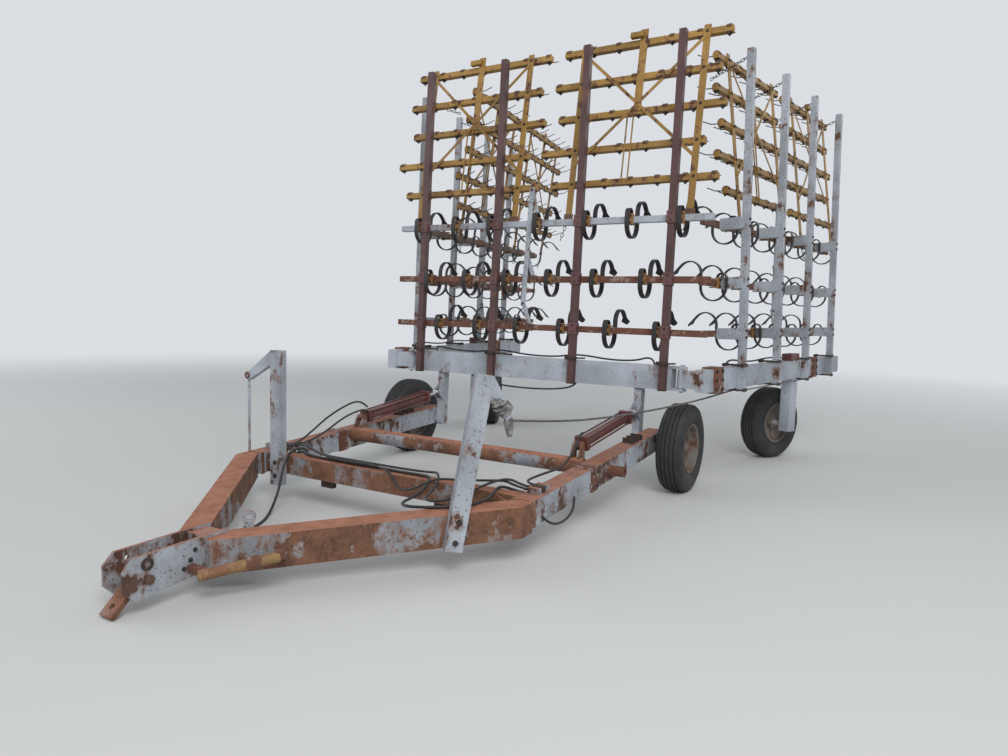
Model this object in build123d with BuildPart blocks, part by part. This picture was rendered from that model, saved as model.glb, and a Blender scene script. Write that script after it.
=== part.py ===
"""Tine weeder with two folding wings, parked with its tine frame turned up and its wings back.

Millimetres, +Z up, the hitch towards -Y and the machine's left towards +X.
The main wheels' axle line is the pivot that the tine frame turns on. The machine is drawn with that line
over the origin, and written with the middle of its length there.
"""

import os
from math import asin, atan2, cos, degrees, hypot, radians, sin, tan

from build123d import *

os.makedirs("parts", exist_ok=True)

# Running gear
tyre_od = 800.0
tyre_width = 240.0
rim_od = 420.0
rim_width = 200.0
rim_lip = 14.0
rim_wall = 8.0
rim_seat = 16.0
wheel_sides = 24
hub_od = 130.0
hub_length = 120.0
spindle_od = 60.0
axle_z = tyre_od / 2
main_wheel_x = 1545.0
fit_gap = 0.3
running_gap = 6.0

# Carrier: two side rails, a V of tongue beams, a front beam and a rear tube
slope = 3.2
rail_x = 1265.0
rail_width = 150.0
rail_depth = 170.0
rail_rear_y = 110.0
rail_front_y = -2430.0
rail_top_z = 520.0
beam_wall = 8.0
tongue_depth = 200.0
tongue_width = 100.0
jaw_gap = 150.0
jaw_plate = 20.0
jaw_front_y = -4400.0
jaw_length = 640.0
jaw_rear_y = jaw_front_y + jaw_length
jaw_depth = 230.0
jaw_chamfer = 60.0
jaw_pin_od = 32.0
pivot_stub = 95.0
front_beam_depth = 150.0
front_beam_width = 120.0
rear_tube_od = 130.0
rear_tube_y = -1330.0
post_width = 110.0
post_flange = 70.0
post_wall = 8.0
post_x = 1018.0
post_lean = 9.5
beam_post_x = 1010.0
post_foot_z = 150.0
post_top_z = 1235.0
post_arm_size = 50.0
post_arm_reach = 215.0
post_arm_drop = 210.0
strut_od = 22.0
strut_foot_z = 250.0

# Hitch tongue, resting with its tip on the ground
tongue_bar_width = 100.0
tongue_bar_thick = 28.0
tongue_bar_length = 330.0
tongue_bar_tail = 90.0
hitch_pin_bore = 34.0
hitch_pin_z = 175.0
hitch_pin_y = jaw_front_y + 138.0

# Tine frame
frame_lean = 2.5
toolbar_depth = 222.0
toolbar_width = 150.0
toolbar_bottom_z = 912.0
toolbar_half = 1440.0
toolbar_y = 5.0
rib_size = 64.0
rib_pitch = 914.0
rib_top_z = 4105.0
rib_count = 4
bar_size = 60.0
bar_half = 1730.0
lug_thick = 22.0
wing_pin_od = 38.0
wing_pin_x = 1533.0
hub_radius = 45.0
sleeve_size = 84.0
sleeve_height = 112.0
lift_post_width = 100.0
lift_post_thick = 70.0
lift_post_x = 1122.0
lift_post_foot = 65.0

# Rows of tines: name, height, first tine and count on the centre, first tine and count on a wing
centre_tine_pitch = 1450.0 / 3
wing_tine_pitch = 510.0
row_table = [
    ("top", 2464.0, -1450.0, 7, 790.0, 7),
    ("middle", 1912.0, -1289.0, 6, 560.0, 7),
    ("bottom", 1433.0, -1128.0, 6, 950.0, 6),
]
rib_clearance = 76.0
bracket_clearance = 80.0

# Spring tine, from its seat on the bar to its point: straight run, then radius, turn in degrees and facets
tine_width = 45.0
tine_thick = 12.0
tine_runs = [
    (90.0, 46.0, 180.0, 2),
    (83.0, 128.0, 180.0, 3),
    (128.0, 120.0, -135.0, 2),
    (99.0, 0.0, 0.0, 0),
]
point_length = 100.0
point_width = 90.0
clamp_depth = 110.0
clamp_width = 62.0
clamp_thick = 30.0

# Harrow sections: steps of each bar below the top one, and its shift to the side
harrow_width = 1657.0
harrow_bar = 60.0
harrow_top_z = 4160.0
harrow_top_y = 190.0
harrow_table = [
    (0, 0.0),
    (1, -70.0),
    (2, 0.0),
    (3, -155.0),
    (4, -10.0),
]
harrow_steps = 5
harrow_member_x = 600.0
harrow_member_rise = 60.0
harrow_mid_rise = 120.0
strap_width = 50.0
strap_thick = 12.0
brace_width = 32.0
stub_length = 260.0
link_rod = 16.0
harrow_tines = 7
harrow_rod = 11.0
harrow_rod_length = 210.0
harrow_rod_rise = 20.0
centre_harrow_x = 906.0

# Wings, in their own frame: X along the wing from the hinge pin, Y towards the tines, Z up
wing_splay = 9.0
wing_lean = 1.5
wing_rib_y = -292.0
wing_rib_top_z = 4030.0
wing_first_rib = 640.0
wing_bar_y = -22.0
wing_bar_start = 290.0
wing_bar_end = 3960.0
wing_harrows = [("inner", 1761.0), ("outer", 3614.0)]
wing_toolbar_width = 100.0
wing_toolbar_depth = 200.0
wing_toolbar_start = -75.0
wing_toolbar_end = 3870.0
elbow_reach = 135.0
bracket_depth = 105.0
bracket_width = 90.0
leg_u = 2230.0
leg_size = 120.0
leg_boss = 110.0
caster_turn = 16.1
wing_wheel_offset = 228.0
leg_bottom_z = 330.0

# Hydraulic hoses across the front of the carrier, each leaving a gland on a rail's inner face
hose_od = 20.0
gland_od = 34.0
gland_length = 40.0
coupler_od = 32.0
coupler_length = 110.0
hose_rest = hose_od / 2 + 3.0
arc_share = 0.45

# Lift cylinders
cylinder_x = lift_post_x
cylinder_base_y = -1290.0
cylinder_base_z = 560.0
rod_eye_y = -110.0
rod_eye_z = 690.0
barrel_od = 90.0
rod_od = 38.0
barrel_length = 1010.0
barrel_block = 110.0
block_length = 50.0
tie_rod = 16.0
rod_stroke = 385.0
eye_od = 60.0
eye_width = 50.0
eye_shank = 40.0
cylinder_pin_od = 30.0
clevis_gap = 54.0
clevis_plate = 16.0


pieces = {}


def keep(piece, name):
    """Name a finished solid or group of solids and hold it until all are written."""
    piece.label = name
    pieces[name] = piece


def top_of_rail(y):
    """Height of the carrier's sloping top face at a place along the machine."""
    return rail_top_z + y * tan(radians(slope))


def mirrored(piece):
    """The same piece on the machine's right."""
    return mirror(piece, about=Plane.YZ)


# The tine frame leans back about the axle line; its pieces are drawn upright and placed by this plane
lift_plane = Plane(origin=(0, 0, axle_z), x_dir=(1, 0, 0), z_dir=(0, sin(radians(frame_lean)), cos(radians(frame_lean))))
upright = Plane(origin=(0, 0, axle_z))


def on_frame(piece):
    """Place a piece that was drawn upright onto the leaning frame."""
    return lift_plane.from_local_coords(upright.to_local_coords(piece))


# The hinge pin follows the lean of the frame; the wing itself stands level on its wheel
rib_y = toolbar_y - toolbar_width / 2 - rib_size / 2
bar_y = rib_y + rib_size / 2 + bar_size / 2 + fit_gap
pin_y = rib_y + 60.0
pin_mid_z = toolbar_bottom_z + toolbar_depth / 2
pin_rise = pin_mid_z - axle_z
pin_place_y = pin_rise * sin(radians(frame_lean)) + pin_y * cos(radians(frame_lean))
wing_plane = Plane(
    origin=(wing_pin_x, pin_place_y, 0),
    x_dir=(sin(radians(wing_splay)), cos(radians(wing_splay)), 0),
    z_dir=(0, 0, 1),
)


def on_wing(piece):
    """Place a piece that was drawn in the wing's own frame on the left wing."""
    return wing_plane.from_local_coords(piece)


# Ribs, rows and harrows of a wing lean inwards about the middle of its toolbar
wing_toolbar_y = wing_rib_y + rib_size / 2 + wing_toolbar_width / 2
wing_gear_plane = Plane(
    origin=(0, wing_toolbar_y, pin_mid_z),
    x_dir=(1, 0, 0),
    z_dir=(0, sin(radians(wing_lean)), cos(radians(wing_lean))),
)
wing_gear_upright = Plane(origin=(0, wing_toolbar_y, pin_mid_z))


def on_wing_gear(piece):
    """Place a piece that was drawn upright in the wing's frame onto its leaning gear."""
    return on_wing(wing_gear_plane.from_local_coords(wing_gear_upright.to_local_coords(piece)))


# Main wheels and wing wheels
def wheel_ring(stations):
    """A solid through regular polygons given as places along the axle and their corner radius."""
    with BuildPart() as ring:
        for x, radius in stations:
            with BuildSketch(Plane.YZ.offset(x)):
                RegularPolygon(radius=radius, side_count=wheel_sides)
        loft(ruled=True)
    return ring.part


def tyre_solid():
    """Tyre with a flat tread, sloping shoulders and bulged side walls."""
    half = tyre_width / 2
    radius = tyre_od / 2
    seat = rim_od / 2 + fit_gap
    seat_half = rim_width / 2 - rim_seat
    wall = (radius + seat) / 2 + 15
    body = wheel_ring(
        [
            (-seat_half, seat + rim_lip),
            (-half, wall),
            (-half + 30, radius - 12),
            (0, radius),
            (half - 30, radius - 12),
            (half, wall),
            (seat_half, seat + rim_lip),
        ]
    )
    return body - wheel_ring([(-half, seat), (half, seat)])


def rim_solid():
    """Rim with its lips, disc and hub, bored for the spindle."""
    seat = rim_od / 2
    half = rim_width / 2
    barrel = wheel_ring([(-half, seat + rim_lip), (-half + rim_wall, seat), (half - rim_wall, seat), (half, seat + rim_lip)])
    hollow = wheel_ring([(-half - 1, seat - rim_wall), (half + 1, seat - rim_wall)])
    with BuildPart() as rim:
        add(barrel - hollow)
        with BuildSketch(Plane.YZ.offset(-10)):
            RegularPolygon(radius=seat - rim_wall / 2, side_count=wheel_sides)
        extrude(amount=rim_wall)
        with BuildSketch(Plane.YZ.offset(-hub_length / 2)):
            RegularPolygon(radius=hub_od / 2, side_count=wheel_sides // 2)
        extrude(amount=hub_length)
        with BuildSketch(Plane.YZ.offset(-hub_length / 2)):
            Circle(spindle_od / 2 + fit_gap)
        extrude(amount=hub_length - 20, mode=Mode.SUBTRACT)
    return rim.part


tyre = tyre_solid()
rim = rim_solid()
main_wheel_plane = Plane(origin=(main_wheel_x, 0, axle_z))
for name, piece in (("tyre", tyre), ("rim", rim)):
    placed = main_wheel_plane.from_local_coords(piece)
    keep(placed, f"main_{name}_left")
    keep(mirrored(placed), f"main_{name}_right")

# Wing wheels stand on their legs, turned out from the wing's line
leg_plane = Plane(
    origin=(leg_u, wing_toolbar_y, 0),
    x_dir=(cos(radians(caster_turn)), -sin(radians(caster_turn)), 0),
    z_dir=(0, 0, 1),
)
wing_wheel_plane = Plane(
    origin=leg_plane.from_local_coords((0, wing_wheel_offset, axle_z)),
    x_dir=leg_plane.y_dir,
    z_dir=(0, 0, 1),
)
for name, piece in (("tyre", tyre), ("rim", rim)):
    placed = on_wing(wing_wheel_plane.from_local_coords(piece))
    keep(placed, f"wing_{name}_left")
    keep(mirrored(placed), f"wing_{name}_right")

rail_outer = rail_x + rail_width / 2
rail_inner = rail_x - rail_width / 2
spindle_reach = main_wheel_x + hub_length / 2 - 20 - fit_gap

# Side rails with the wheel spindles, and the stubs that the lift posts turn on
with BuildPart() as side_rail:
    with BuildSketch(Plane.YZ.offset(rail_x - rail_width / 2)) as rail_side:
        with BuildLine():
            Polyline(
                (rail_rear_y, top_of_rail(rail_rear_y)),
                (rail_rear_y, top_of_rail(rail_rear_y) - rail_depth),
                (rail_front_y, top_of_rail(rail_front_y) - rail_depth),
                (rail_front_y, top_of_rail(rail_front_y)),
                close=True,
            )
        make_face()
    extrude(amount=rail_width)
    with BuildSketch(Plane.YZ.offset(rail_inner - pivot_stub)):
        with Locations((0, axle_z)):
            Circle(spindle_od / 2)
    extrude(amount=spindle_reach - rail_inner + pivot_stub)
    with BuildSketch(Plane.YZ.offset(rail_outer)):
        with Locations((0, axle_z)):
            Circle(spindle_od / 2 + 12)
    extrude(amount=main_wheel_x - hub_length / 2 - running_gap - rail_outer)
keep(side_rail.part, "side_rail_left")
keep(mirrored(side_rail.part), "side_rail_right")

# Tongue beams, from the rails' front corners to the jaw
jaw_outer = jaw_gap / 2 + jaw_plate
beam_front_x = jaw_outer + tongue_width / 2
beam_front_y = jaw_rear_y - 40
beam_rear_x = rail_x + rail_width / 2 - tongue_width / 2
beam_run = hypot(beam_rear_x - beam_front_x, rail_front_y - beam_front_y)
beam_turn = atan2(beam_rear_x - beam_front_x, rail_front_y - beam_front_y)
with BuildPart() as tongue_beam:
    with BuildSketch(Plane.XY):
        with BuildLine():
            Polyline(
                (jaw_outer + fit_gap, beam_front_y - 130),
                (jaw_outer + fit_gap + 40, beam_front_y - 130),
                (rail_x + rail_width / 2, rail_front_y - 120),
                (rail_x + rail_width / 2, rail_front_y - fit_gap),
                (rail_x - rail_width / 2 + 30, rail_front_y - fit_gap),
                (jaw_outer + fit_gap, jaw_rear_y + 20),
                close=True,
            )
        make_face()
    extrude(amount=1000)
    with BuildSketch(Plane.YZ):
        with BuildLine():
            Polyline(
                (rail_front_y, top_of_rail(rail_front_y)),
                (rail_front_y, top_of_rail(rail_front_y) - tongue_depth),
                (jaw_front_y, top_of_rail(jaw_front_y) - tongue_depth),
                (jaw_front_y, top_of_rail(jaw_front_y)),
                close=True,
            )
        make_face()
    extrude(amount=2000, mode=Mode.INTERSECT)
keep(tongue_beam.part, "tongue_beam_left")
keep(mirrored(tongue_beam.part), "tongue_beam_right")

# Front cross beam between the rails' front corners
front_beam_y = rail_front_y + front_beam_width / 2 + 60
front_beam_half = rail_x - rail_width / 2 - fit_gap
with BuildPart() as front_beam:
    with BuildSketch(Plane.YZ.offset(-front_beam_half)):
        with Locations((front_beam_y, top_of_rail(front_beam_y) - front_beam_depth / 2 - 5)):
            Rectangle(front_beam_width, front_beam_depth)
    extrude(amount=2 * front_beam_half)
keep(front_beam.part, "front_cross_beam")

# Rear cross tube, with the ears and pins that the lift cylinders push against
rear_tube_z = top_of_rail(rear_tube_y) - rear_tube_od / 2 + 25
clevis_offset = clevis_gap / 2 + clevis_plate / 2
clevis_places = [side * cylinder_x + ear * clevis_offset for side in (-1, 1) for ear in (-1, 1)]
cylinder_places = [side * cylinder_x for side in (-1, 1)]
pin_half = clevis_gap / 2 + clevis_plate
with BuildPart() as rear_tube:
    with BuildSketch(Plane.YZ.offset(-front_beam_half)):
        with Locations((rear_tube_y, rear_tube_z)):
            Circle(rear_tube_od / 2)
    extrude(amount=2 * front_beam_half)
    with BuildSketch(*[Plane.YZ.offset(x) for x in clevis_places]):
        with BuildLine():
            Polyline(
                (rear_tube_y - rear_tube_od / 2 + 5, rear_tube_z),
                (cylinder_base_y - 30, cylinder_base_z),
                (cylinder_base_y - 18, cylinder_base_z + 26),
                (cylinder_base_y + 18, cylinder_base_z + 26),
                (cylinder_base_y + 30, cylinder_base_z),
                (cylinder_base_y + 30, rear_tube_z + 20),
                (rear_tube_y, rear_tube_z - 20),
                close=True,
            )
        make_face()
    extrude(amount=clevis_plate / 2, both=True)
    with BuildSketch(*[Plane.YZ.offset(x) for x in cylinder_places]):
        with Locations((cylinder_base_y, cylinder_base_z)):
            Circle(cylinder_pin_od / 2 - fit_gap)
    extrude(amount=pin_half, both=True)
keep(rear_tube.part, "rear_cross_tube")

# Hoses: their routes are corner points, each with its height above what lies below it
def hose(points):
    """A round hose along straight runs that are joined by arcs as large as the runs allow."""
    corners = [Vector(*point) for point in points]
    runs = [b - a for a, b in zip(corners, corners[1:])]
    radii = []
    for before, after in zip(runs, runs[1:]):
        half_turn = radians(before.get_angle(after)) / 2
        radii.append(arc_share * min(before.length, after.length) / tan(half_turn))
    print("hose", round(sum(run.length for run in runs)), "smallest radius", round(min(radii)))
    with BuildPart() as tube:
        with BuildLine() as route:
            FilletPolyline(*corners, radius=radii)
        with BuildSketch(Plane(origin=route.line @ 0, z_dir=route.line % 0)):
            Circle(hose_od / 2)
        sweep()
    return tube.part


def gland(x, y, z, side):
    """Fitting on a rail's inner face that a hose leaves towards the middle."""
    with BuildPart() as fitting:
        with BuildSketch(Plane.YZ.offset(x)):
            with Locations((y, z)):
                RegularPolygon(radius=gland_od / 2, side_count=6)
        extrude(amount=-side * gland_length)
    return fitting.part


front_beam_top = top_of_rail(front_beam_y) - 5
gland_x = front_beam_half
gland_end = gland_x - gland_length
over_beam = front_beam_top + hose_rest
cross_hose = [
    (gland_end, -2120, 345),
    (1085, -2124, 347),
    (1035, -2152, 364),
    (1000, -2205, 388),
    (1000, -2280, over_beam + 6),
    (1022, -2370, over_beam + 4),
    (1055, -2470, over_beam - 5),
    (1080, -2580, top_of_rail(-2580) + hose_rest + 4),
    (1060, -2690, top_of_rail(-2690) + hose_rest),
    (975, -2795, top_of_rail(-2795) + hose_rest),
    (860, -2880, top_of_rail(-2880) + hose_rest),
    (735, -2910, 362),
    (620, -2860, 345),
    (550, -2760, 332),
    (522, -2640, 326),
    (525, -2520, 348),
    (508, -2430, over_beam - 6),
    (455, -2335, over_beam + 8),
    (360, -2300, over_beam),
    (180, -2312, over_beam),
    (-40, -2296, over_beam),
    (-260, -2316, over_beam),
    (-480, -2298, over_beam),
    (-660, -2306, over_beam),
    (-770, -2296, over_beam + 2),
    (-865, -2262, over_beam + 6),
    (-955, -2205, over_beam - 4),
    (-1035, -2152, 366),
    (-1085, -2124, 347),
    (-gland_end, -2120, 345),
]
ground_rest = hose_od / 2 + 1
tail_hose = [
    (-gland_end, -2040, 345),
    (-1085, -2042, 346),
    (-1020, -2075, 358),
    (-955, -2140, 388),
    (-930, -2215, over_beam + 30),
    (-925, -2310, over_beam + 32),
    (-905, -2400, over_beam + 6),
    (-880, -2470, 330),
    (-865, -2510, 235),
    (-855, -2550, 135),
    (-825, -2625, 55),
    (-760, -2730, ground_rest),
    (-660, -2870, ground_rest),
    (-590, -3040, ground_rest),
    (-500, -3200, ground_rest),
    (-360, -3300, ground_rest),
    (-220, -3340, ground_rest),
    (-120, -3420, ground_rest),
]
keep(hose(cross_hose), "cross_hose")
keep(hose(tail_hose), "tail_hose")
tail_end = Vector(*tail_hose[-1])
coupler_way = (tail_end - Vector(*tail_hose[-2])).normalized()
with BuildPart() as coupler:
    with BuildSketch(Plane(origin=tail_end + Vector(0, 0, (coupler_od - hose_od) / 2), z_dir=coupler_way)):
        Circle(coupler_od / 2)
    extrude(amount=coupler_length)
keep(coupler.part, "tail_coupler")
left_gland = gland(gland_x, *cross_hose[0][1:], 1)
right_gland = gland(-gland_x, *cross_hose[-1][1:], -1) + gland(-gland_x, *tail_hose[0][1:], -1)
keep(left_gland, "hose_gland_left")
keep(right_gland, "hose_glands_right")

# Hitch jaw: two side plates with a spacer between them
jaw_top_front = top_of_rail(jaw_front_y) + 35
jaw_top_rear = top_of_rail(jaw_rear_y) + 15
jaw_bottom = 80.0
with BuildPart() as hitch_jaw:
    for side in (-1, 1):
        with BuildSketch(Plane.YZ.offset(side * (jaw_gap / 2 + jaw_plate / 2))) as jaw_side:
            with BuildLine():
                Polyline(
                    (jaw_front_y, jaw_bottom + jaw_chamfer),
                    (jaw_front_y, jaw_top_front - jaw_chamfer),
                    (jaw_front_y + jaw_chamfer, jaw_top_front),
                    (jaw_rear_y, jaw_top_rear),
                    (jaw_rear_y, jaw_bottom + 60),
                    (jaw_front_y + jaw_chamfer, jaw_bottom),
                    close=True,
                )
            make_face()
            with Locations((hitch_pin_y, hitch_pin_z), (hitch_pin_y - 10, hitch_pin_z + 85)):
                Circle(jaw_pin_od / 2, mode=Mode.SUBTRACT)
        extrude(amount=jaw_plate / 2, both=True)
    with BuildSketch(Plane.XY.offset(jaw_bottom + 60)):
        with Locations((0, jaw_rear_y - 90)):
            Rectangle(jaw_gap, 140)
    extrude(amount=top_of_rail(jaw_rear_y) - jaw_bottom - 60)
keep(hitch_jaw.part, "hitch_jaw")

# Hitch tongue on its cross pin, tip on the ground
tongue_reach = tongue_bar_length - tongue_bar_tail
tip_radius = hypot(tongue_reach, tongue_bar_thick / 2)
tongue_drop = degrees(asin((hitch_pin_z - fit_gap) / tip_radius) - atan2(tongue_bar_thick / 2, tongue_reach))
tongue_plane = Plane(
    origin=(0, hitch_pin_y, hitch_pin_z),
    x_dir=(0, -cos(radians(tongue_drop)), -sin(radians(tongue_drop))),
    z_dir=(0, -sin(radians(tongue_drop)), cos(radians(tongue_drop))),
)
with BuildPart() as hitch_tongue:
    with BuildSketch(Plane.XY.offset(-tongue_bar_thick / 2)) as tongue_flat:
        with Locations(((tongue_bar_length - 2 * tongue_bar_tail) / 2, 0)):
            Rectangle(tongue_bar_length, tongue_bar_width)
        with Locations((tongue_bar_length - tongue_bar_tail - 55, 0)):
            Circle(hitch_pin_bore / 2, mode=Mode.SUBTRACT)
    extrude(amount=tongue_bar_thick)
    with BuildSketch(Plane.XZ.offset(-jaw_gap / 2 - jaw_plate)):
        Circle(jaw_pin_od / 2 - fit_gap)
    extrude(amount=jaw_gap + 2 * jaw_plate)
keep(tongue_plane.from_local_coords(hitch_tongue.part), "hitch_tongue")

# Cable posts: one leans back against the outer face of the left tongue beam, and one stands upright on the
# front cross beam with a strut from its arm down the side of the right rail
def cable_post(reach, strut_x=None):
    """A channel with its back towards -Y and an arm towards +X at its head."""
    with BuildPart() as post:
        with BuildSketch(Plane.XY.offset(post_foot_z)):
            with Locations((0, -post_flange + post_wall / 2 - fit_gap)):
                Rectangle(post_width, post_wall)
            with Locations(
                (-post_width / 2 + post_wall / 2, -post_flange / 2 - fit_gap),
                (post_width / 2 - post_wall / 2, -post_flange / 2 - fit_gap),
            ):
                Rectangle(post_wall, post_flange)
        extrude(amount=post_top_z - post_foot_z)
        with BuildSketch(Plane.XZ.offset(post_flange / 2 - post_arm_size / 2)):
            with BuildLine():
                Polyline(
                    (-post_width / 2 + 10, post_top_z - 60),
                    (-post_width / 2 + 10, post_top_z),
                    (post_width / 2, post_top_z),
                    (reach, post_top_z - post_arm_drop),
                    (reach - 25, post_top_z - post_arm_drop - post_arm_size),
                    close=True,
                )
            make_face()
        extrude(amount=post_arm_size)
        if strut_x:
            with BuildSketch(Plane.XY.offset(strut_foot_z)):
                with Locations((strut_x, -post_flange / 2)):
                    Circle(strut_od / 2)
            extrude(amount=post_top_z - post_arm_drop - post_arm_size / 2 - strut_foot_z)
    return post.part


face_start = (jaw_outer + fit_gap + 40, beam_front_y - 130)
face_end = (rail_x + rail_width / 2, rail_front_y - 120)
face_turn = atan2(face_end[1] - face_start[1], face_end[0] - face_start[0])
post_y = face_start[1] + (post_x - face_start[0]) * tan(face_turn)
lean = radians(post_lean)
left_post_plane = Plane(
    origin=(post_x, post_y, 0),
    x_dir=(cos(face_turn) * cos(lean), sin(face_turn) * cos(lean), -sin(lean)),
    z_dir=(cos(face_turn) * sin(lean), sin(face_turn) * sin(lean), cos(lean)),
)
keep(left_post_plane.from_local_coords(cable_post(post_arm_reach)), "cable_post_left")
strut_place = rail_x + rail_width / 2 + strut_od / 2 + fit_gap - beam_post_x
right_post_plane = Plane(origin=(-beam_post_x, front_beam_y - front_beam_width / 2, 0))
right_post = mirrored(cable_post(strut_place + strut_od / 2, strut_place))
keep(right_post_plane.from_local_coords(right_post), "cable_post_right")

# Centre toolbar, with the hinge lugs at its ends
toolbar_top_z = toolbar_bottom_z + toolbar_depth
with BuildPart() as toolbar:
    with BuildSketch(Plane.YZ.offset(-toolbar_half)):
        with Locations((toolbar_y, pin_mid_z)):
            Rectangle(toolbar_width, toolbar_depth)
    extrude(amount=2 * toolbar_half)
    with BuildSketch(Plane.XY.offset(toolbar_bottom_z), Plane.XY.offset(toolbar_top_z - lug_thick)):
        for side in (-1, 1):
            with BuildLine():
                Polyline(
                    (side * (toolbar_half - 20), toolbar_y - toolbar_width / 2),
                    (side * wing_pin_x, pin_y - hub_radius),
                    (side * (wing_pin_x + hub_radius), pin_y),
                    (side * wing_pin_x, pin_y + hub_radius),
                    (side * (toolbar_half - 20), toolbar_y + toolbar_width / 2),
                    close=True,
                )
            make_face()
    extrude(amount=lug_thick)
    with BuildSketch(Plane.XY.offset(toolbar_bottom_z - 15)):
        with Locations((wing_pin_x, pin_y), (-wing_pin_x, pin_y)):
            Circle(wing_pin_od / 2)
    extrude(amount=toolbar_depth + 30)
keep(on_frame(toolbar.part), "centre_toolbar")

# Lift posts, from the toolbar down to the axle line, each with a clevis for the cylinder's rod
post_head_z = toolbar_bottom_z - fit_gap
with BuildPart() as lift_posts:
    with BuildSketch(*[Plane.YZ.offset(x) for x in cylinder_places]):
        with BuildLine():
            Polyline(
                (toolbar_y - lift_post_width / 2, post_head_z),
                (toolbar_y + lift_post_width / 2, post_head_z),
                (toolbar_y + lift_post_width / 2, axle_z + 120),
                (lift_post_foot, axle_z),
                (-lift_post_foot, axle_z),
                (toolbar_y - lift_post_width / 2, axle_z + 120),
                close=True,
            )
        make_face()
        with Locations((0, axle_z)):
            Circle(lift_post_foot)
            Circle(spindle_od / 2 + fit_gap, mode=Mode.SUBTRACT)
    extrude(amount=lift_post_thick / 2, both=True)
    with BuildSketch(*[Plane.YZ.offset(x) for x in clevis_places]):
        with BuildLine():
            Polyline(
                (toolbar_y - 30, rod_eye_z + 90),
                (rod_eye_y, rod_eye_z + 30),
                (rod_eye_y - 30, rod_eye_z),
                (rod_eye_y, rod_eye_z - 30),
                (toolbar_y - 30, rod_eye_z - 90),
                close=True,
            )
        make_face()
    extrude(amount=clevis_plate / 2, both=True)
keep(on_frame(lift_posts.part), "lift_posts")

# Centre ribs
centre_rib_places = [(k - (rib_count - 1) / 2) * rib_pitch for k in range(rib_count)]
with BuildPart() as ribs:
    with BuildSketch(Plane.XY.offset(toolbar_bottom_z)):
        with Locations(*[(x, rib_y - fit_gap) for x in centre_rib_places]):
            Rectangle(rib_size, rib_size)
    extrude(amount=rib_top_z - toolbar_bottom_z)
    with BuildSketch(*[Plane.XY.offset(z - sleeve_height / 2) for _, z, _, _, _, _ in row_table]):
        with Locations(*[(x, rib_y + rib_size / 2 - fit_gap) for x in centre_rib_places]):
            Rectangle(sleeve_size, (sleeve_size + rib_size) / 2, align=(Align.CENTER, Align.MAX))
    extrude(amount=sleeve_height)
keep(on_frame(ribs.part), "centre_ribs")


def tine_path():
    """Corner points of the spring tine's middle line, from its seat on the bar, and its last heading."""
    y = -bar_size / 2 - tine_thick / 2
    z = -tine_runs[0][0] / 2
    heading = 90.0
    points = [(y, z)]
    for run, radius, turn, facets in tine_runs:
        y += run * cos(radians(heading))
        z += run * sin(radians(heading))
        points.append((y, z))
        for _ in range(facets):
            step = turn / facets
            chord = 2 * radius * sin(radians(abs(step) / 2))
            heading += step / 2
            y += chord * cos(radians(heading))
            z += chord * sin(radians(heading))
            heading += step / 2
            points.append((y, z))
    return points, heading


def strip_outline(points, thickness):
    """Outline of a flat strip of even thickness that follows the given corner points."""
    near = []
    far = []
    for k, (y, z) in enumerate(points):
        before = points[max(k - 1, 0)]
        after = points[min(k + 1, len(points) - 1)]
        first = atan2(z - before[1], y - before[0]) if k else atan2(after[1] - z, after[0] - y)
        last = atan2(after[1] - z, after[0] - y) if k < len(points) - 1 else first
        middle = atan2(sin(first) + sin(last), cos(first) + cos(last))
        reach = thickness / 2 / abs(cos((last - first) / 2))
        near.append((y - reach * sin(middle), z + reach * cos(middle)))
        far.append((y + reach * sin(middle), z - reach * cos(middle)))
    return near + far[::-1]


def clear_places(first, pitch, count, supports, clearance):
    """Places of a row's tines, each moved to the nearer side of a support that it would meet."""
    places = []
    for k in range(count):
        x = first + k * pitch
        for support in supports:
            if abs(x - support) < clearance:
                x = support + clearance if x > support else support - clearance
        places.append(x)
    return places


tine_corners, tine_heading = tine_path()
tine_outline = strip_outline(tine_corners, tine_thick)
tine_tip_y, tine_tip_z = tine_corners[-1]


def tine_row(row_y, row_z, start, end, places):
    """One bar with its spring tines, drawn along X with the points towards +Y."""
    planes = [Plane.YZ.offset(x) for x in places]
    points = [
        Plane(
            origin=(x, row_y + tine_tip_y, row_z + tine_tip_z),
            x_dir=(0, cos(radians(tine_heading)), sin(radians(tine_heading))),
            z_dir=(0, -sin(radians(tine_heading)), cos(radians(tine_heading))),
        )
        for x in places
    ]
    with BuildPart() as row:
        with BuildSketch(Plane.YZ.offset(start)):
            with Locations((row_y, row_z)):
                Rectangle(bar_size, bar_size)
        extrude(amount=end - start)
        with BuildSketch(*planes):
            with Locations((row_y - (bar_size + clamp_thick) / 2, row_z)):
                Rectangle(clamp_thick, clamp_depth)
        extrude(amount=clamp_width / 2, both=True)
        with BuildSketch(*planes):
            with BuildLine():
                Polyline([(row_y + y, row_z + z) for y, z in tine_outline], close=True)
            make_face()
        extrude(amount=tine_width / 2, both=True)
        with BuildSketch(*points):
            with BuildLine():
                Polyline(
                    (-point_length / 2, -tine_width / 2),
                    (0, -point_width / 2),
                    (point_length / 2 - 5, 0),
                    (0, point_width / 2),
                    (-point_length / 2, tine_width / 2),
                    close=True,
                )
            make_face()
        extrude(amount=tine_thick / 2, both=True)
    return row.part


for name, z, first, count, _, _ in row_table:
    places = clear_places(first, centre_tine_pitch, count, centre_rib_places, rib_clearance)
    keep(on_frame(tine_row(bar_y, z, -bar_half, bar_half, places)), f"centre_row_{name}")


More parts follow.
